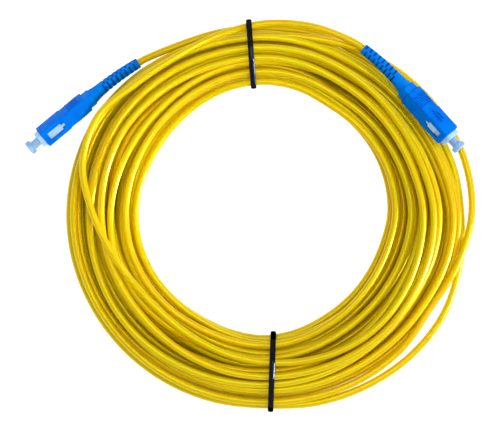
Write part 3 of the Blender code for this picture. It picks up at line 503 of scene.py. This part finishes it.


def moulded(name, low, high, roughness=(0.32, 0.46), texture=0.012 * MM, **sockets):
    """Moulded plastic: fine sparked texture, gentle flow variation between two colours, scuffs.

    Painted shade darkens it where the mesh's attribute "hollow" rises to 1.
    """
    made = material(name, **sockets)
    tree = made.node_tree
    shader = tree.nodes["Principled BSDF"]
    places = node(tree, "ShaderNodeTexCoord").outputs["Object"]
    flow = noise(tree, places, 260, 3.0)
    color = ramp(tree, flow, ((0.35, low), (0.65, high)))
    # painted shade: the colour is mixed towards a darker copy as the "hollow" attribute rises
    hollow = node(tree, "ShaderNodeAttribute", attribute_name="hollow").outputs["Fac"]
    hollow_shade_color = (*(c * PAINTED_HOLLOW_SHADE for c in low), 1)
    shaded = node(tree, "ShaderNodeMix", {"Factor": hollow, MIX_A: color, MIX_B: hollow_shade_color},
                  data_type="RGBA")
    tree.links.new(shaded.outputs[MIX_RESULT], shader.inputs["Base Color"])
    fine = noise(tree, places, 5200, 4.0)
    scuffs = noise(tree, places, 900, 5.0, (1, 0.18, 0.18))
    tree.links.new(spread(tree, mixed(tree, 0.5, fine, scuffs), *roughness),
                   shader.inputs["Roughness"])
    bump(tree, shader, ((fine, texture), (scuffs, texture)))
    return made


def metal(name, color, roughness, streaks):
    """Turned or drawn metal, with fine streaks along or across it."""
    made = material(name, Metallic=1.0)
    tree = made.node_tree
    shader = tree.nodes["Principled BSDF"]
    places = node(tree, "ShaderNodeTexCoord").outputs["Object"]
    lines = noise(tree, places, 2400, 3.0, streaks)
    stain = noise(tree, places, 300, 2.0)
    darker = tuple(c * 0.82 for c in color)
    tree.links.new(ramp(tree, stain, ((0.35, darker), (0.65, color))),
                   shader.inputs["Base Color"])
    tree.links.new(spread(tree, lines, roughness - 0.08, roughness + 0.1),
                   shader.inputs["Roughness"])
    bump(tree, shader, ((lines, 0.006 * MM),))
    return made


MATERIALS = {
    "jacket": jacket_material(),
    "housing": moulded("housing_plastic", (0.0, 0.165, 0.80), (0.0, 0.20, 0.90),
                       Specular_IOR_Level=0.01),
    "boot": moulded("boot_plastic", (0.0, 0.19, 0.86), (0.0, 0.24, 0.95), (0.34, 0.5),
                    0.02 * MM, Specular_IOR_Level=0.015),
    "frame": moulded("frame_plastic", (0.41, 0.66, 0.92), (0.49, 0.75, 0.98), (0.38, 0.55),
                     Specular_IOR_Level=0.15),
    "cap": moulded("cap_plastic", (0.30, 0.55, 0.90), (0.40, 0.68, 0.99), (0.22, 0.36),
                   Transmission_Weight=0.3, Specular_IOR_Level=0.3),
    "tie": moulded("tie_plastic", (0.014, 0.017, 0.026), (0.022, 0.026, 0.038), (0.2, 0.3),
                   0.01 * MM, Metallic=1.0, Specular_Tint=(0, 0, 0, 1)),
    "ceramic": moulded("ceramic", (0.83, 0.83, 0.80), (0.9, 0.9, 0.88), (0.08, 0.16), 0.002 * MM,
                       Coat_Weight=0.4, Coat_Roughness=0.05),
    "buffer": moulded("buffer_plastic", (0.80, 0.80, 0.74), (0.88, 0.88, 0.84)),
    "nickel": metal("nickel", (0.66, 0.65, 0.61), 0.26, (0.2, 1, 1)),
    "steel": metal("steel", (0.58, 0.58, 0.58), 0.34, (1, 1, 0.2)),
    "spring": metal("spring_wire", (0.55, 0.55, 0.56), 0.28, (1, 1, 1)),
}


# ---------------------------------------------------------------- meshes

SHARP_FROM = 35.0               # degrees between two faces from which their edge looks sharp
SHARP_FROM_ON_TUBES = 60.0
BEVEL_FROM = 40.0               # and from which an edge is rounded


def add_object(name, data):
    made = bpy.data.objects.new(name, data)
    bpy.context.scene.collection.objects.link(made)
    return made


def mesh_of(name, built):
    """Turn a bmesh into a mesh, and free it."""
    mesh = bpy.data.meshes.new(name)
    built.to_mesh(mesh)
    built.free()
    return mesh


def shade(mesh, sharp_from=SHARP_FROM):
    mesh.shade_smooth()
    mesh.set_sharp_from_angle(angle=math.radians(sharp_from))


def add_piece(name, mesh, mat, body, replaced):
    """A finished piece in the shared frame, which rides on a body and stands for CAD nodes."""
    made = add_object(name, mesh)
    mesh.materials.clear()
    mesh.materials.append(mat)
    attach(made, body)
    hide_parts(*replaced)
    return made


def skin(name, rings, joined=False):
    """Skin a row of rings. joined closes the row on itself; otherwise the end rings are capped."""
    made = bmesh.new()
    rows = [[made.verts.new(p) for p in ring] for ring in rings]
    pairs = list(zip(rows, rows[1:]))
    if joined:
        pairs.append((rows[-1], rows[0]))
    for one, two in pairs:
        n = len(one)
        for i in range(n):
            made.faces.new((one[i], one[(i + 1) % n], two[(i + 1) % n], two[i]))
    if not joined:
        made.faces.new(rows[0])
        made.faces.new(rows[-1])
    bmesh.ops.recalc_face_normals(made, faces=made.faces)
    mesh = mesh_of(name, made)
    shade(mesh)
    return mesh


def circle(x, radius, sides=48):
    turns = [2 * math.pi * (i + 0.5) / sides for i in range(sides)]
    return [Vector((x, radius * math.cos(a), radius * math.sin(a))) for a in turns]


def rounded(x, half, corner, sides=32):
    """A rectangle with round corners, with as many points as a circle of the same sides."""
    steps = sides // 4 - 1
    found = []
    for quarter in range(4):
        sy, sz = ((1, 1), (-1, 1), (-1, -1), (1, -1))[quarter]
        for i in range(steps + 1):
            a = math.radians(90 * (quarter + i / steps))
            found.append(Vector((x, sy * (half[0] - corner) + corner * math.cos(a),
                                 sz * (half[1] - corner) + corner * math.sin(a))))
    return found


def box(low, high):
    made = bmesh.new()
    size = Vector(high) - Vector(low)
    middle = (Vector(high) + Vector(low)) / 2
    bmesh.ops.create_cube(made, size=1.0,
                          matrix=Matrix.Translation(middle) @ Matrix.Diagonal((*size, 1)))
    return mesh_of("box", made)


def joined_mesh(meshes):
    made = bmesh.new()
    for mesh in meshes:
        made.from_mesh(mesh)
    return mesh_of("joined", made)


def worked(mesh, steps, edge=0.0):
    """Boolean tools into a mesh, then round its edges. steps are (operation, tool mesh)."""
    base = add_object("work", mesh)
    tools = []
    for operation, tool_mesh in steps:
        tool = add_object("tool", tool_mesh)
        tools.append(tool)
        modifier = base.modifiers.new(operation, "BOOLEAN")
        modifier.operation = operation
        modifier.solver = "EXACT"
        modifier.object = tool
    if edge:
        modifier = base.modifiers.new("edges", "BEVEL")
        modifier.width = edge
        modifier.segments = 3
        modifier.limit_method = "ANGLE"
        modifier.angle_limit = math.radians(BEVEL_FROM)
    graph = bpy.context.evaluated_depsgraph_get()
    graph.update()
    done = bpy.data.meshes.new_from_object(base.evaluated_get(graph))
    for used in [base] + tools:
        bpy.data.objects.remove(used, do_unlink=True)
    shade(done)
    return done


def mark_painted_shade(mesh, depth):
    """Store how hollow the mesh is at each face, 0 to 1, as depth(position) tells; the finish
    paints shade by it.
    """
    layer = mesh.attributes.new("hollow", "FLOAT", "FACE")
    for face in mesh.polygons:
        layer.data[face.index].value = min(1.0, max(0.0, depth(face.center)))


def to_place(mesh, suffix):
    """Carry a mesh from a connector's frame, in millimetres, to its place in metres."""
    mesh.transform(PLUGS[suffix]["matrix"] @ Matrix.Scale(MM, 4))
    return mesh


def swept(name, points, radius, sides, uv_name="UVMap"):
    """A closed tube along points, cut flat at the floor; u is in metres along it, v once round."""
    made = bmesh.new()
    layer = made.loops.layers.uv.new(uv_name)
    up = Vector((0, 0, 1))
    rings, along = [], [0.0]
    for i, p in enumerate(points):
        ahead = (points[min(i + 1, len(points) - 1)] - points[max(i - 1, 0)]).normalized()
        side = up.cross(ahead).normalized()
        over = ahead.cross(side)
        ring = []
        for k in range(sides):
            a = 2 * math.pi * k / sides
            spot = p + radius * (math.cos(a) * side + math.sin(a) * over)
            spot.z = max(spot.z, 0.0)
            ring.append(made.verts.new(spot))
        rings.append(ring)
        if i:
            along.append(along[-1] + (p - points[i - 1]).length)
    for i in range(len(rings) - 1):
        for k in range(sides):
            n = (k + 1) % sides
            face = made.faces.new((rings[i][k], rings[i][n], rings[i + 1][n], rings[i + 1][k]))
            corners = ((i, k), (i, k + 1), (i + 1, k + 1), (i + 1, k))
            for loop, (u, v) in zip(face.loops, corners):
                loop[layer].uv = (along[u], v / sides)
    made.faces.new(rings[0])
    made.faces.new(rings[-1])
    bmesh.ops.recalc_face_normals(made, faces=made.faces)
    mesh = mesh_of(name, made)
    shade(mesh, SHARP_FROM_ON_TUBES)
    return mesh


# ---------------------------------------------------------------- camera, light and floor

PICTURE = (500, 430)            # pixels
COIL_PIXEL = (265, 212)         # where the photograph has the coil's centre
PIXELS_PER_MM = 2.365
CAMERA_UP = 4.0                 # metres
SCALE_HEIGHT = 8 * MM           # the height at which the photograph's scale holds
SENSOR_W = 36.0
CLIP = (0.01, 20)

FLOOR_SECTORS = 120
FLOOR_EVEN_R, FLOOR_R = 0.3, 3.0        # metres
FLOOR_DROP = 0.04 * MM          # how far it lies under the cord, so that the two don't touch
FLOOR_GLOW = 0.9
SHADE_MARGIN = 0.5 * MM         # from the cord's middle line to the shaded ring's edge
LOOSE_SIDE = (-22, 52)          # middle and half width, in degrees, of the side with loose turns
LOOSE_SIDE_R = 79.5 * MM        # to which the ring is shaded there
ON_PLUG_A = (-0.070, 0.046, 0.008)      # the place on connector A that its own lamp lights
SPOT_LAMP_R = 0.08


def add_camera():
    """The camera looks straight down, placed and scaled as the photograph is."""
    data = bpy.data.cameras.new("camera")
    data.sensor_width = SENSOR_W
    data.lens = SENSOR_W * (CAMERA_UP - SCALE_HEIGHT) / (PICTURE[0] / PIXELS_PER_MM * MM)
    data.clip_start, data.clip_end = CLIP
    made = add_object("camera", data)
    right = (PICTURE[0] / 2 - COIL_PIXEL[0]) / PIXELS_PER_MM * MM
    up = (COIL_PIXEL[1] - PICTURE[1] / 2) / PIXELS_PER_MM * MM
    made.location = (COIL_CENTRE[0] + right, COIL_CENTRE[1] + up, CAMERA_UP)
    bpy.context.scene.camera = made


def aim(lamp, place_at, target):
    lamp.location = place_at
    lamp.rotation_euler = (Vector(target) - Vector(place_at)).to_track_quat("-Z", "Y").to_euler()


def add_light(name, place_at, size, power, shine_only=False):
    """A round lamp that points at the middle; shine_only draws highlights and lights nothing."""
    data = bpy.data.lights.new(name, "AREA")
    data.shape = "DISK"
    data.size = size
    data.energy = power
    made = add_object(name, data)
    made.visible_diffuse = not shine_only
    aim(made, place_at, (0, 0, 0))


def add_spot(name, place_at, target, angle, power):
    data = bpy.data.lights.new(name, "SPOT")
    data.spot_size = math.radians(angle)
    data.spot_blend = 1.0
    data.shadow_soft_size = SPOT_LAMP_R
    data.energy = power
    aim(add_object(name, data), place_at, target)


def shaded_ring(angle):
    """The radii between which the floor lies under the coil, in metres."""
    middle, half = LOOSE_SIDE
    away = abs((angle - middle + 180) % 360 - 180)
    outer = around(OUTER_EDGE, angle) + SHADE_MARGIN
    if away < half:
        outer = min(outer, LOOSE_SIDE_R)
    return around(INNER_EDGE, angle) + SHADE_MARGIN, outer


def add_floor():
    """A plain pale floor, lit from within except where the coil would keep the light off it."""
    made = bmesh.new()
    rows = []
    for i in range(FLOOR_SECTORS):
        angle = 360 / FLOOR_SECTORS * i
        inner, outer = shaded_ring(angle)
        rows.append([made.verts.new(place(angle, r, -FLOOR_DROP))
                     for r in (inner / 3, inner, outer, FLOOR_EVEN_R, FLOOR_R)])
    for one, two in zip(rows, rows[1:] + rows[:1]):
        for k in range(len(one) - 1):
            face = made.faces.new((one[k], one[k + 1], two[k + 1], two[k]))
            face.material_index = int(k == 1)
    made.faces.new([row[0] for row in rows])
    bmesh.ops.recalc_face_normals(made, faces=made.faces)
    mesh = mesh_of("floor", made)
    floor = add_object("floor", mesh)
    for name, glow in (("floor", FLOOR_GLOW), ("floor_under", 0.0)):
        mesh.materials.append(material(name, Base_Color=(0.4, 0.4, 0.4, 1), Roughness=0.9,
                                       Specular_IOR_Level=0.1, Emission_Color=(1, 1, 1, 1),
                                       Emission_Strength=glow))


def add_lights():
    world = bpy.data.worlds.new("world")
    world.use_nodes = True
    background = world.node_tree.nodes["Background"]
    background.inputs["Color"].default_value = (0.95, 0.97, 1.0, 1)
    background.inputs["Strength"].default_value = 0.55
    bpy.context.scene.world = world
    add_light("high_key", (0.25, 0.30, 1.95), size=1.1, power=9.6)
    add_light("low_key", (2.70, -0.45, 1.20), size=0.6, power=38)
    add_light("edge_key", (2.60, -0.80, 0.90), size=0.3, power=330, shine_only=True)
    add_spot("plug_key", (0.30, -0.38, 0.95), ON_PLUG_A, angle=7.0, power=44)


add_camera()
add_floor()
add_lights()
bpy.context.scene.view_settings.view_transform = "Standard"


# ---------------------------------------------------------------- the cord

CORD_SIDES = 20
CORD_STEP = 2.6 * MM            # between the rings of its mesh


def add_cord():
    """The whole cord as one tube; also its middle line and its length in metres."""
    route = curved(cord_route(), CORD_STEP)
    length = sum((b - a).length for a, b in zip(route, route[1:]))
    mesh = swept("cord", route, CORD_D / 2, CORD_SIDES, "along")
    made = add_piece("cord", mesh, MATERIALS["jacket"], "root",
                     ("cord_lead_a", "cord_coil", "cord_lead_b"))
    return made, route, length


cord, cord_points, cord_length = add_cord()


# ---------------------------------------------------------------- connectors

NEAR = 0.05                     # how far past a recess's edge its faces are still looked for
KEY_TOP = HOUSING[1] + KEY_H
WALL_SHADE_DEPTH = 0.3          # how deep in a window its wall gets the darkest painted shade
RIB_SHADE = 0.45                # how hollow it is between two ribs, and so how much painted shade lies there


def housing_mesh():
    """The hollow housing: a front block, a drawn-in grip with finger ribs, and its cavity."""
    y, z = HOUSING
    front, rear = HOUSING_FRONT_EDGE, HOUSING_REAR_EDGE
    low = (y - HOUSING_WAIST, z - HOUSING_WAIST)
    outer = [(0, (y - front, z - front)), (-front, HOUSING), (-HOUSING_BLOCK_L, HOUSING),
             (-HOUSING_BLOCK_L - HOUSING_STEP_L, low),
             (-HOUSING_RIB_FROM + HOUSING_RIB_LEAD, low)]
    for i in range(HOUSING_RIBS):
        at = -HOUSING_RIB_FROM - i * HOUSING_RIB_PITCH
        outer += [(at - share * HOUSING_RIB_PITCH, (low[0], low[1] + rise))
                  for share, rise in HOUSING_RIB_SHAPE]
    outer += [(outer[-1][0] - HOUSING_RIB_LEAD, low), (-HOUSING_L + rear, low),
              (-HOUSING_L, (low[0] - rear, low[1] - rear))]
    rings = [rounded(x, half, HOUSING_CORNER) for x, half in outer]
    rings += [rounded(x, CAVITY, FRAME_CORNER) for x in (-HOUSING_L, 0)]
    return skin("housing", rings, joined=True)


def key_mesh():
    """The key on the housing's top, with a ramp at its front."""
    root = HOUSING[1] - KEY_ROOT
    rings = []
    for x, height in ((-KEY_FROM, KEY_TOP - KEY_RAMP_H), (-KEY_FROM - KEY_RAMP_L, KEY_TOP),
                      (-KEY_TO + KEY_REAR_EDGE, KEY_TOP), (-KEY_TO, KEY_TOP - KEY_REAR_EDGE)):
        rings.append([Vector((x, side * KEY_W / 2, z)) for side, z in
                      ((-1, root), (1, root), (1, height), (-1, height))])
    return skin("key", rings)


def window_cutter():
    """A cutter through both sides: a window with a narrow slot behind it."""
    outline = [(-WINDOW_FROM, WINDOW_W), (-WINDOW_TO, WINDOW_W), (-WINDOW_TO, WINDOW_SLOT_W),
               (-WINDOW_SLOT_TO, WINDOW_SLOT_W)]
    points = [(x, w / 2) for x, w in outline] + [(x, -w / 2) for x, w in reversed(outline)]
    reach = 2 * HOUSING[0]
    return skin("window", [[Vector((x, y, z)) for x, z in points] for y in (-reach, reach)])


def housing_painted_shade(p):
    """How much painted shade the housing gets, by how hollow it is: the key's slot, the windows'
    walls and between the ribs.
    """
    if abs(p.y) < KEY_SLOT_W / 2 + NEAR and p.z > HOUSING[1] + NEAR:
        return (KEY_TOP - HOUSING_SOFTENED - p.z) / (KEY_SLOT_H - HOUSING_SOFTENED - NEAR)
    in_window = -WINDOW_SLOT_TO - 2 * NEAR < p.x < -WINDOW_FROM + 2 * NEAR
    if in_window and abs(p.z) < WINDOW_W / 2 + NEAR:
        return (HOUSING[0] - HOUSING_SOFTENED - abs(p.y)) / WALL_SHADE_DEPTH
    last_rib_ends = HOUSING_RIBS - 1 + HOUSING_RIB_SHAPE[-1][0] + NEAR
    ribs_to = -HOUSING_RIB_FROM - last_rib_ends * HOUSING_RIB_PITCH
    in_ribs = ribs_to < p.x < -HOUSING_RIB_FROM + NEAR
    if in_ribs and abs(p.z) > HOUSING[1] - HOUSING_WAIST - NEAR:
        return RIB_SHADE * (HOUSING[1] - abs(p.z)) / HOUSING_WAIST
    return 0.0


def add_housing(suffix):
    """The blue outer housing, which slides."""
    slot = box((-KEY_TO + KEY_SLOT_WALL, -KEY_SLOT_W / 2, KEY_TOP - KEY_SLOT_H),
               (-KEY_FROM - KEY_SLOT_WALL, KEY_SLOT_W / 2, KEY_TOP + 1))
    mesh = worked(housing_mesh(), (("UNION", key_mesh()), ("DIFFERENCE", slot),
                                   ("DIFFERENCE", window_cutter())), HOUSING_SOFTENED)
    # painted shade in the key's slot, on the windows' walls and between the ribs
    mark_painted_shade(mesh, housing_painted_shade)
    return add_piece(f"housing_{suffix}", to_place(mesh, suffix), MATERIALS["housing"],
                     f"grip_{suffix}", (f"outer_housing_{suffix}",))


def add_frame(suffix):
    """The white frame, with its socket and the stepped latch pads that show in the windows."""
    y, z = FRAME
    rings = [rounded(FRAME_FRONT, (y - FRAME_EDGE, z - FRAME_EDGE), FRAME_CORNER),
             rounded(FRAME_FRONT - FRAME_EDGE, FRAME, FRAME_CORNER),
             rounded(FRAME_REAR, FRAME, FRAME_CORNER)]
    pad_from, pad_to = -WINDOW_FROM - SLIDE_TRAVEL - PLAY, -WINDOW_TO + PLAY
    reach, step_reach = y + PAD_H, y + PAD_STEP_H
    half, tab_half = PAD_W / 2, WINDOW_SLOT_W / 2 - PLAY
    pad = box((pad_to, -reach, -half), (pad_from, reach, half))
    tab = box((-WINDOW_SLOT_TO + PLAY, -reach, -tab_half), (pad_from - PLAY, reach, tab_half))
    low_step = box((pad_from - PLAY, -step_reach, -half), (-WINDOW_FROM - PLAY, step_reach, half))
    hole, rear_hole = FERRULE_R + PLAY, STOP_R + PLAY
    bore = [(FRAME_FRONT + 1, SOCKET_R + SOCKET_EDGE), (FRAME_FRONT - SOCKET_EDGE, SOCKET_R),
            (BULKHEAD[0], SOCKET_R), (BULKHEAD[0], hole), (BULKHEAD[1], hole),
            (BULKHEAD[1], rear_hole), (FRAME_REAR - 1, rear_hole)]
    steps = [("UNION", tool) for tool in (pad, tab, low_step)]
    steps.append(("DIFFERENCE", skin("bore", [circle(x, r) for x, r in bore])))
    mesh = worked(skin("frame", rings), steps, FRAME_SOFTENED)
    return add_piece(f"frame_{suffix}", to_place(mesh, suffix), MATERIALS["frame"], "root",
                     (f"plug_frame_{suffix}",))


def boot_outline(x):
    """Outer radius of the boot behind its base: a flared cone, then the slender ribbed part."""
    if x > BOOT_RIB_FROM:
        t = (BOOT_BASE_REAR - x) / (BOOT_BASE_REAR - BOOT_RIB_FROM)
        return BOOT_RIB_R + (BOOT_CONE_R - BOOT_RIB_R) * (1 - t)**2
    t = (BOOT_RIB_FROM - x) / (BOOT_RIB_FROM - BOOT_TAIL)
    return BOOT_RIB_R + (BOOT_TAIL_R - BOOT_RIB_R) * t


def boot_slots():
    """Cutters for the slots: a row on two sides, and a row half a pitch on over the other two."""
    pitch = (BOOT_RIB_FROM - BOOT_TAIL) / (BOOT_SLOTS + 0.5)
    wide = 2 * BOOT_CONE_R
    floor = BOOT_BORE_R + BOOT_SLOT_FLOOR
    cuts = []
    for i in range(2 * BOOT_SLOTS):
        rear = BOOT_RIB_FROM - pitch * (i + 1) / 2 + BOOT_SLOT_W / 2
        front = rear - BOOT_SLOT_W
        for low, high in ((-wide, -floor), (floor, wide)):
            if i % 2:
                cuts.append(box((front, -wide, low), (rear, wide, high)))
            else:
                cuts.append(box((front, low, -wide), (rear, high, wide)))
    return joined_mesh(cuts)


def boot_painted_shade(p):
    """How deep in a slot a point of the boot's skin lies, which sets the painted shade there."""
    if not BOOT_TAIL + BOOT_EDGE < p.x < BOOT_RIB_FROM:
        return 0.0
    outer = boot_outline(p.x)
    # depth at which the painted shade is full
    full_shade_depth = 0.6 * (outer - BOOT_BORE_R)
    return (outer - NEAR - math.hypot(p.y, p.z)) / full_shade_depth


def add_boot(suffix):
    """The boot: a square base in the housing, a cone and slotted ribs, curved to its tail."""
    edge = BOOT_EDGE
    ribbed = [BOOT_RIB_FROM + (BOOT_TAIL - BOOT_RIB_FROM) * i / BOOT_RIB_RINGS
              for i in range(BOOT_RIB_RINGS + 1)]
    cone_from, crimp_end = BOOT_BASE_REAR - edge, CRIMP_REAR - PLAY
    cone = [cone_from + (BOOT_RIB_FROM - cone_from) * i / BOOT_CONE_RINGS
            for i in range(BOOT_CONE_RINGS)]
    base = ((BOOT_FRONT, FRAME), (BOOT_BASE_REAR + edge, FRAME),
            (BOOT_BASE_REAR, (FRAME[0] - edge, FRAME[1] - edge)))
    outer = [(x, min(boot_outline(x), FRAME[1] + BOOT_CONE_FACE)) for x in cone]
    outer += [(x, boot_outline(x)) for x in ribbed[:-1]]
    outer += [(BOOT_TAIL + edge, BOOT_TAIL_R), (BOOT_TAIL, BOOT_TAIL_R - edge / 2)]
    inner = [(x, BOOT_BORE_R) for x in ribbed[::-2] + [crimp_end]]
    inner += [(crimp_end, CRIMP_BORE_R), (BOOT_FRONT, CRIMP_BORE_R)]
    rings = [rounded(x, half, FRAME_CORNER, BOOT_SIDES) for x, half in base]
    rings += [circle(x, radius, BOOT_SIDES) for x, radius in outer + inner]
    mesh = worked(skin("boot", rings, joined=True), (("DIFFERENCE", boot_slots()),))
    # painted shade deep in the boot's slots
    mark_painted_shade(mesh, boot_painted_shade)
    for v in mesh.vertices:
        v.co = bend(v.co, PLUGS[suffix])
    shade(mesh)
    return add_piece(f"strain_relief_{suffix}", to_place(mesh, suffix), MATERIALS["boot"], "root",
                     (f"boot_{suffix}",))


def add_cap(suffix):
    """The dust cap, turned: its knob with round edges, its sleeve, and its bore to the end."""
    knob, end = CAP_TIP - CAP_KNOB_L, FERRULE_TIP
    profile = [(CAP_TIP, CAP_KNOB_R - 0.7), (CAP_TIP - 0.15, CAP_KNOB_R - 0.25),
               (CAP_TIP - 0.45, CAP_KNOB_R), (knob + 0.5, CAP_KNOB_R),
               (knob + 0.15, CAP_KNOB_R - 0.2), (knob, CAP_KNOB_R - 0.6), (knob, CAP_R + 0.15),
               (knob - 0.2, CAP_R), (0.2, CAP_R), (0, CAP_R - 0.12), (0, CAP_BORE_R + 0.08),
               (0.2, CAP_BORE_R), (end + 0.1, CAP_BORE_R), (end + PLAY, CAP_BORE_R - 0.2)]
    mesh = skin("cap", [circle(x, radius) for x, radius in profile])
    return add_piece(f"cap_{suffix}_cover", to_place(mesh, suffix), MATERIALS["cap"],
                     f"cap_{suffix}", (f"dust_cap_{suffix}",))


def add_spring(suffix):
    """The ferrule's spring, wound between its flange and the stop ring."""
    front = FLANGE_REAR - PLAY - SPRING_WIRE_R
    rear = STOP_FRONT + PLAY + SPRING_WIRE_R
    count = round(SPRING_CURLS * SPRING_POINTS)
    points = []
    for i in range(count + 1):
        a = 2 * math.pi * SPRING_CURLS * i / count
        points.append(Vector((front + (rear - front) * i / count, SPRING_R * math.cos(a),
                              SPRING_R * math.sin(a))))
    matrix = PLUGS[suffix]["matrix"]
    mesh = swept("spring", [matrix @ (p * MM) for p in points], SPRING_WIRE_R * MM, SPRING_SIDES)
    made = add_object(f"spring_{suffix}", mesh)
    mesh.materials.append(MATERIALS["spring"])
    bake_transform(made)
    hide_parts(f"ferrule_spring_{suffix}")


def finish_inner(suffix):
    """The inner pieces keep their solids and get their finish."""
    for name, finish in (("ferrule", "ceramic"), ("ferrule_flange", "nickel"),
                         ("stop_ring", "nickel"), ("crimp_ring", "steel"),
                         ("buffered_fibre", "buffer")):
        inner = frame["nodes"][f"{name}_{suffix}"]
        inner.data.materials.clear()
        inner.data.materials.append(MATERIALS[finish])


for plug_name in PLUGS:
    finish_inner(plug_name)
    add_spring(plug_name)
    pieces = [add_housing(plug_name), add_frame(plug_name), add_boot(plug_name),
              add_cap(plug_name)]

boot_point("a", BOOT_TAIL)


# ---------------------------------------------------------------- ties

TIE_W, TIE_T = 2.4 * MM, 1.3 * MM
TIE_SECTION_POINTS = 16
TIE_SQUARENESS = 0.92           # power of an oval: 1 is round, less is squarer
TIE_SIDES = 90                  # round the bundle
TIE_SLACK = 0.12 * MM
TIE_TWIST_L = 11.0 * MM
TIE_TWIST_TURNS = 2.5
TIE_TWIST_POINTS = 60
TIE_TWIST_HEIGHT = 1.35 * MM    # of the line round which the two ends wind
TIE_END_OFF, TIE_END_R, TIE_END_SIDES = 0.55 * MM, 0.62 * MM, 12


def tie_frame(name):
    """A tie's own frame: x is the radius along its upright plane and z is up."""
    angle = TIE_ANGLES[name]
    middle = Matrix.Translation(place(angle, TIE_MIDDLE, 0))
    turned_by = Matrix.Rotation(math.radians(angle + TIE_LEANS[name]), 4, "Z")
    return middle @ turned_by @ Matrix.Translation((-TIE_MIDDLE, 0, 0))


def crossings(points, spin):
    """Where the cord's straights cross a tie's upright plane, as (radius, height)."""
    back = spin.inverted()
    placed = [back @ p for p in points]
    found = []
    for p, q in zip(placed, placed[1:]):
        if p.y * q.y <= 0 and p.y != q.y and p.x > 0:
            at = p.lerp(q, p.y / (p.y - q.y))
            found.append((at.x, at.z))
    return found


def tie_section():
    """The wire's section, a slightly squared oval, as (across, outward) points."""
    found = []
    for i in range(TIE_SECTION_POINTS):
        a = 2 * math.pi * (i + 0.5) / TIE_SECTION_POINTS
        c, s = math.cos(a), math.sin(a)
        found.append((TIE_W / 2 * math.copysign(abs(c)**TIE_SQUARENESS, c),
                      TIE_T / 2 * math.copysign(abs(s)**TIE_SQUARENESS, s)))
    return found


def add_tie(name):
    """A wire tie round the bundle, its two ends twisted together and laid under the coil."""
    spin = tie_frame(name)
    strands = crossings(cord_points, spin)
    offset = CORD_D / 2 + TIE_SLACK + TIE_T / 2
    section = tie_section()
    rings = []
    for i in range(TIE_SIDES):
        a = 2 * math.pi * (i + 0.5) / TIE_SIDES
        out = (math.cos(a), math.sin(a))
        r, z = max(strands, key=lambda s: s[0] * out[0] + s[1] * out[1])
        rings.append([spin @ Vector((r + (offset + up) * out[0], across,
                                     z + (offset + up) * out[1])) for across, up in section])
    parts = [skin(name, rings, joined=True)]
    middle = (min(strands)[0] + max(strands)[0]) / 2
    for side in (0, math.pi):
        points = []
        for i in range(TIE_TWIST_POINTS + 1):
            t = i / TIE_TWIST_POINTS
            a = 2 * math.pi * TIE_TWIST_TURNS * t + side
            points.append(spin @ Vector((middle + TIE_END_OFF * math.cos(a), -TIE_TWIST_L * t,
                                         TIE_TWIST_HEIGHT + TIE_END_OFF * math.sin(a))))
        parts.append(swept("tie_end", points, TIE_END_R, TIE_END_SIDES))
    mesh = joined_mesh(parts)
    shade(mesh, SHARP_FROM_ON_TUBES)
    add_piece(f"{name}_wire", mesh, MATERIALS["tie"], "root", (name,))


for tie_name in TIE_ANGLES:
    add_tie(tie_name)
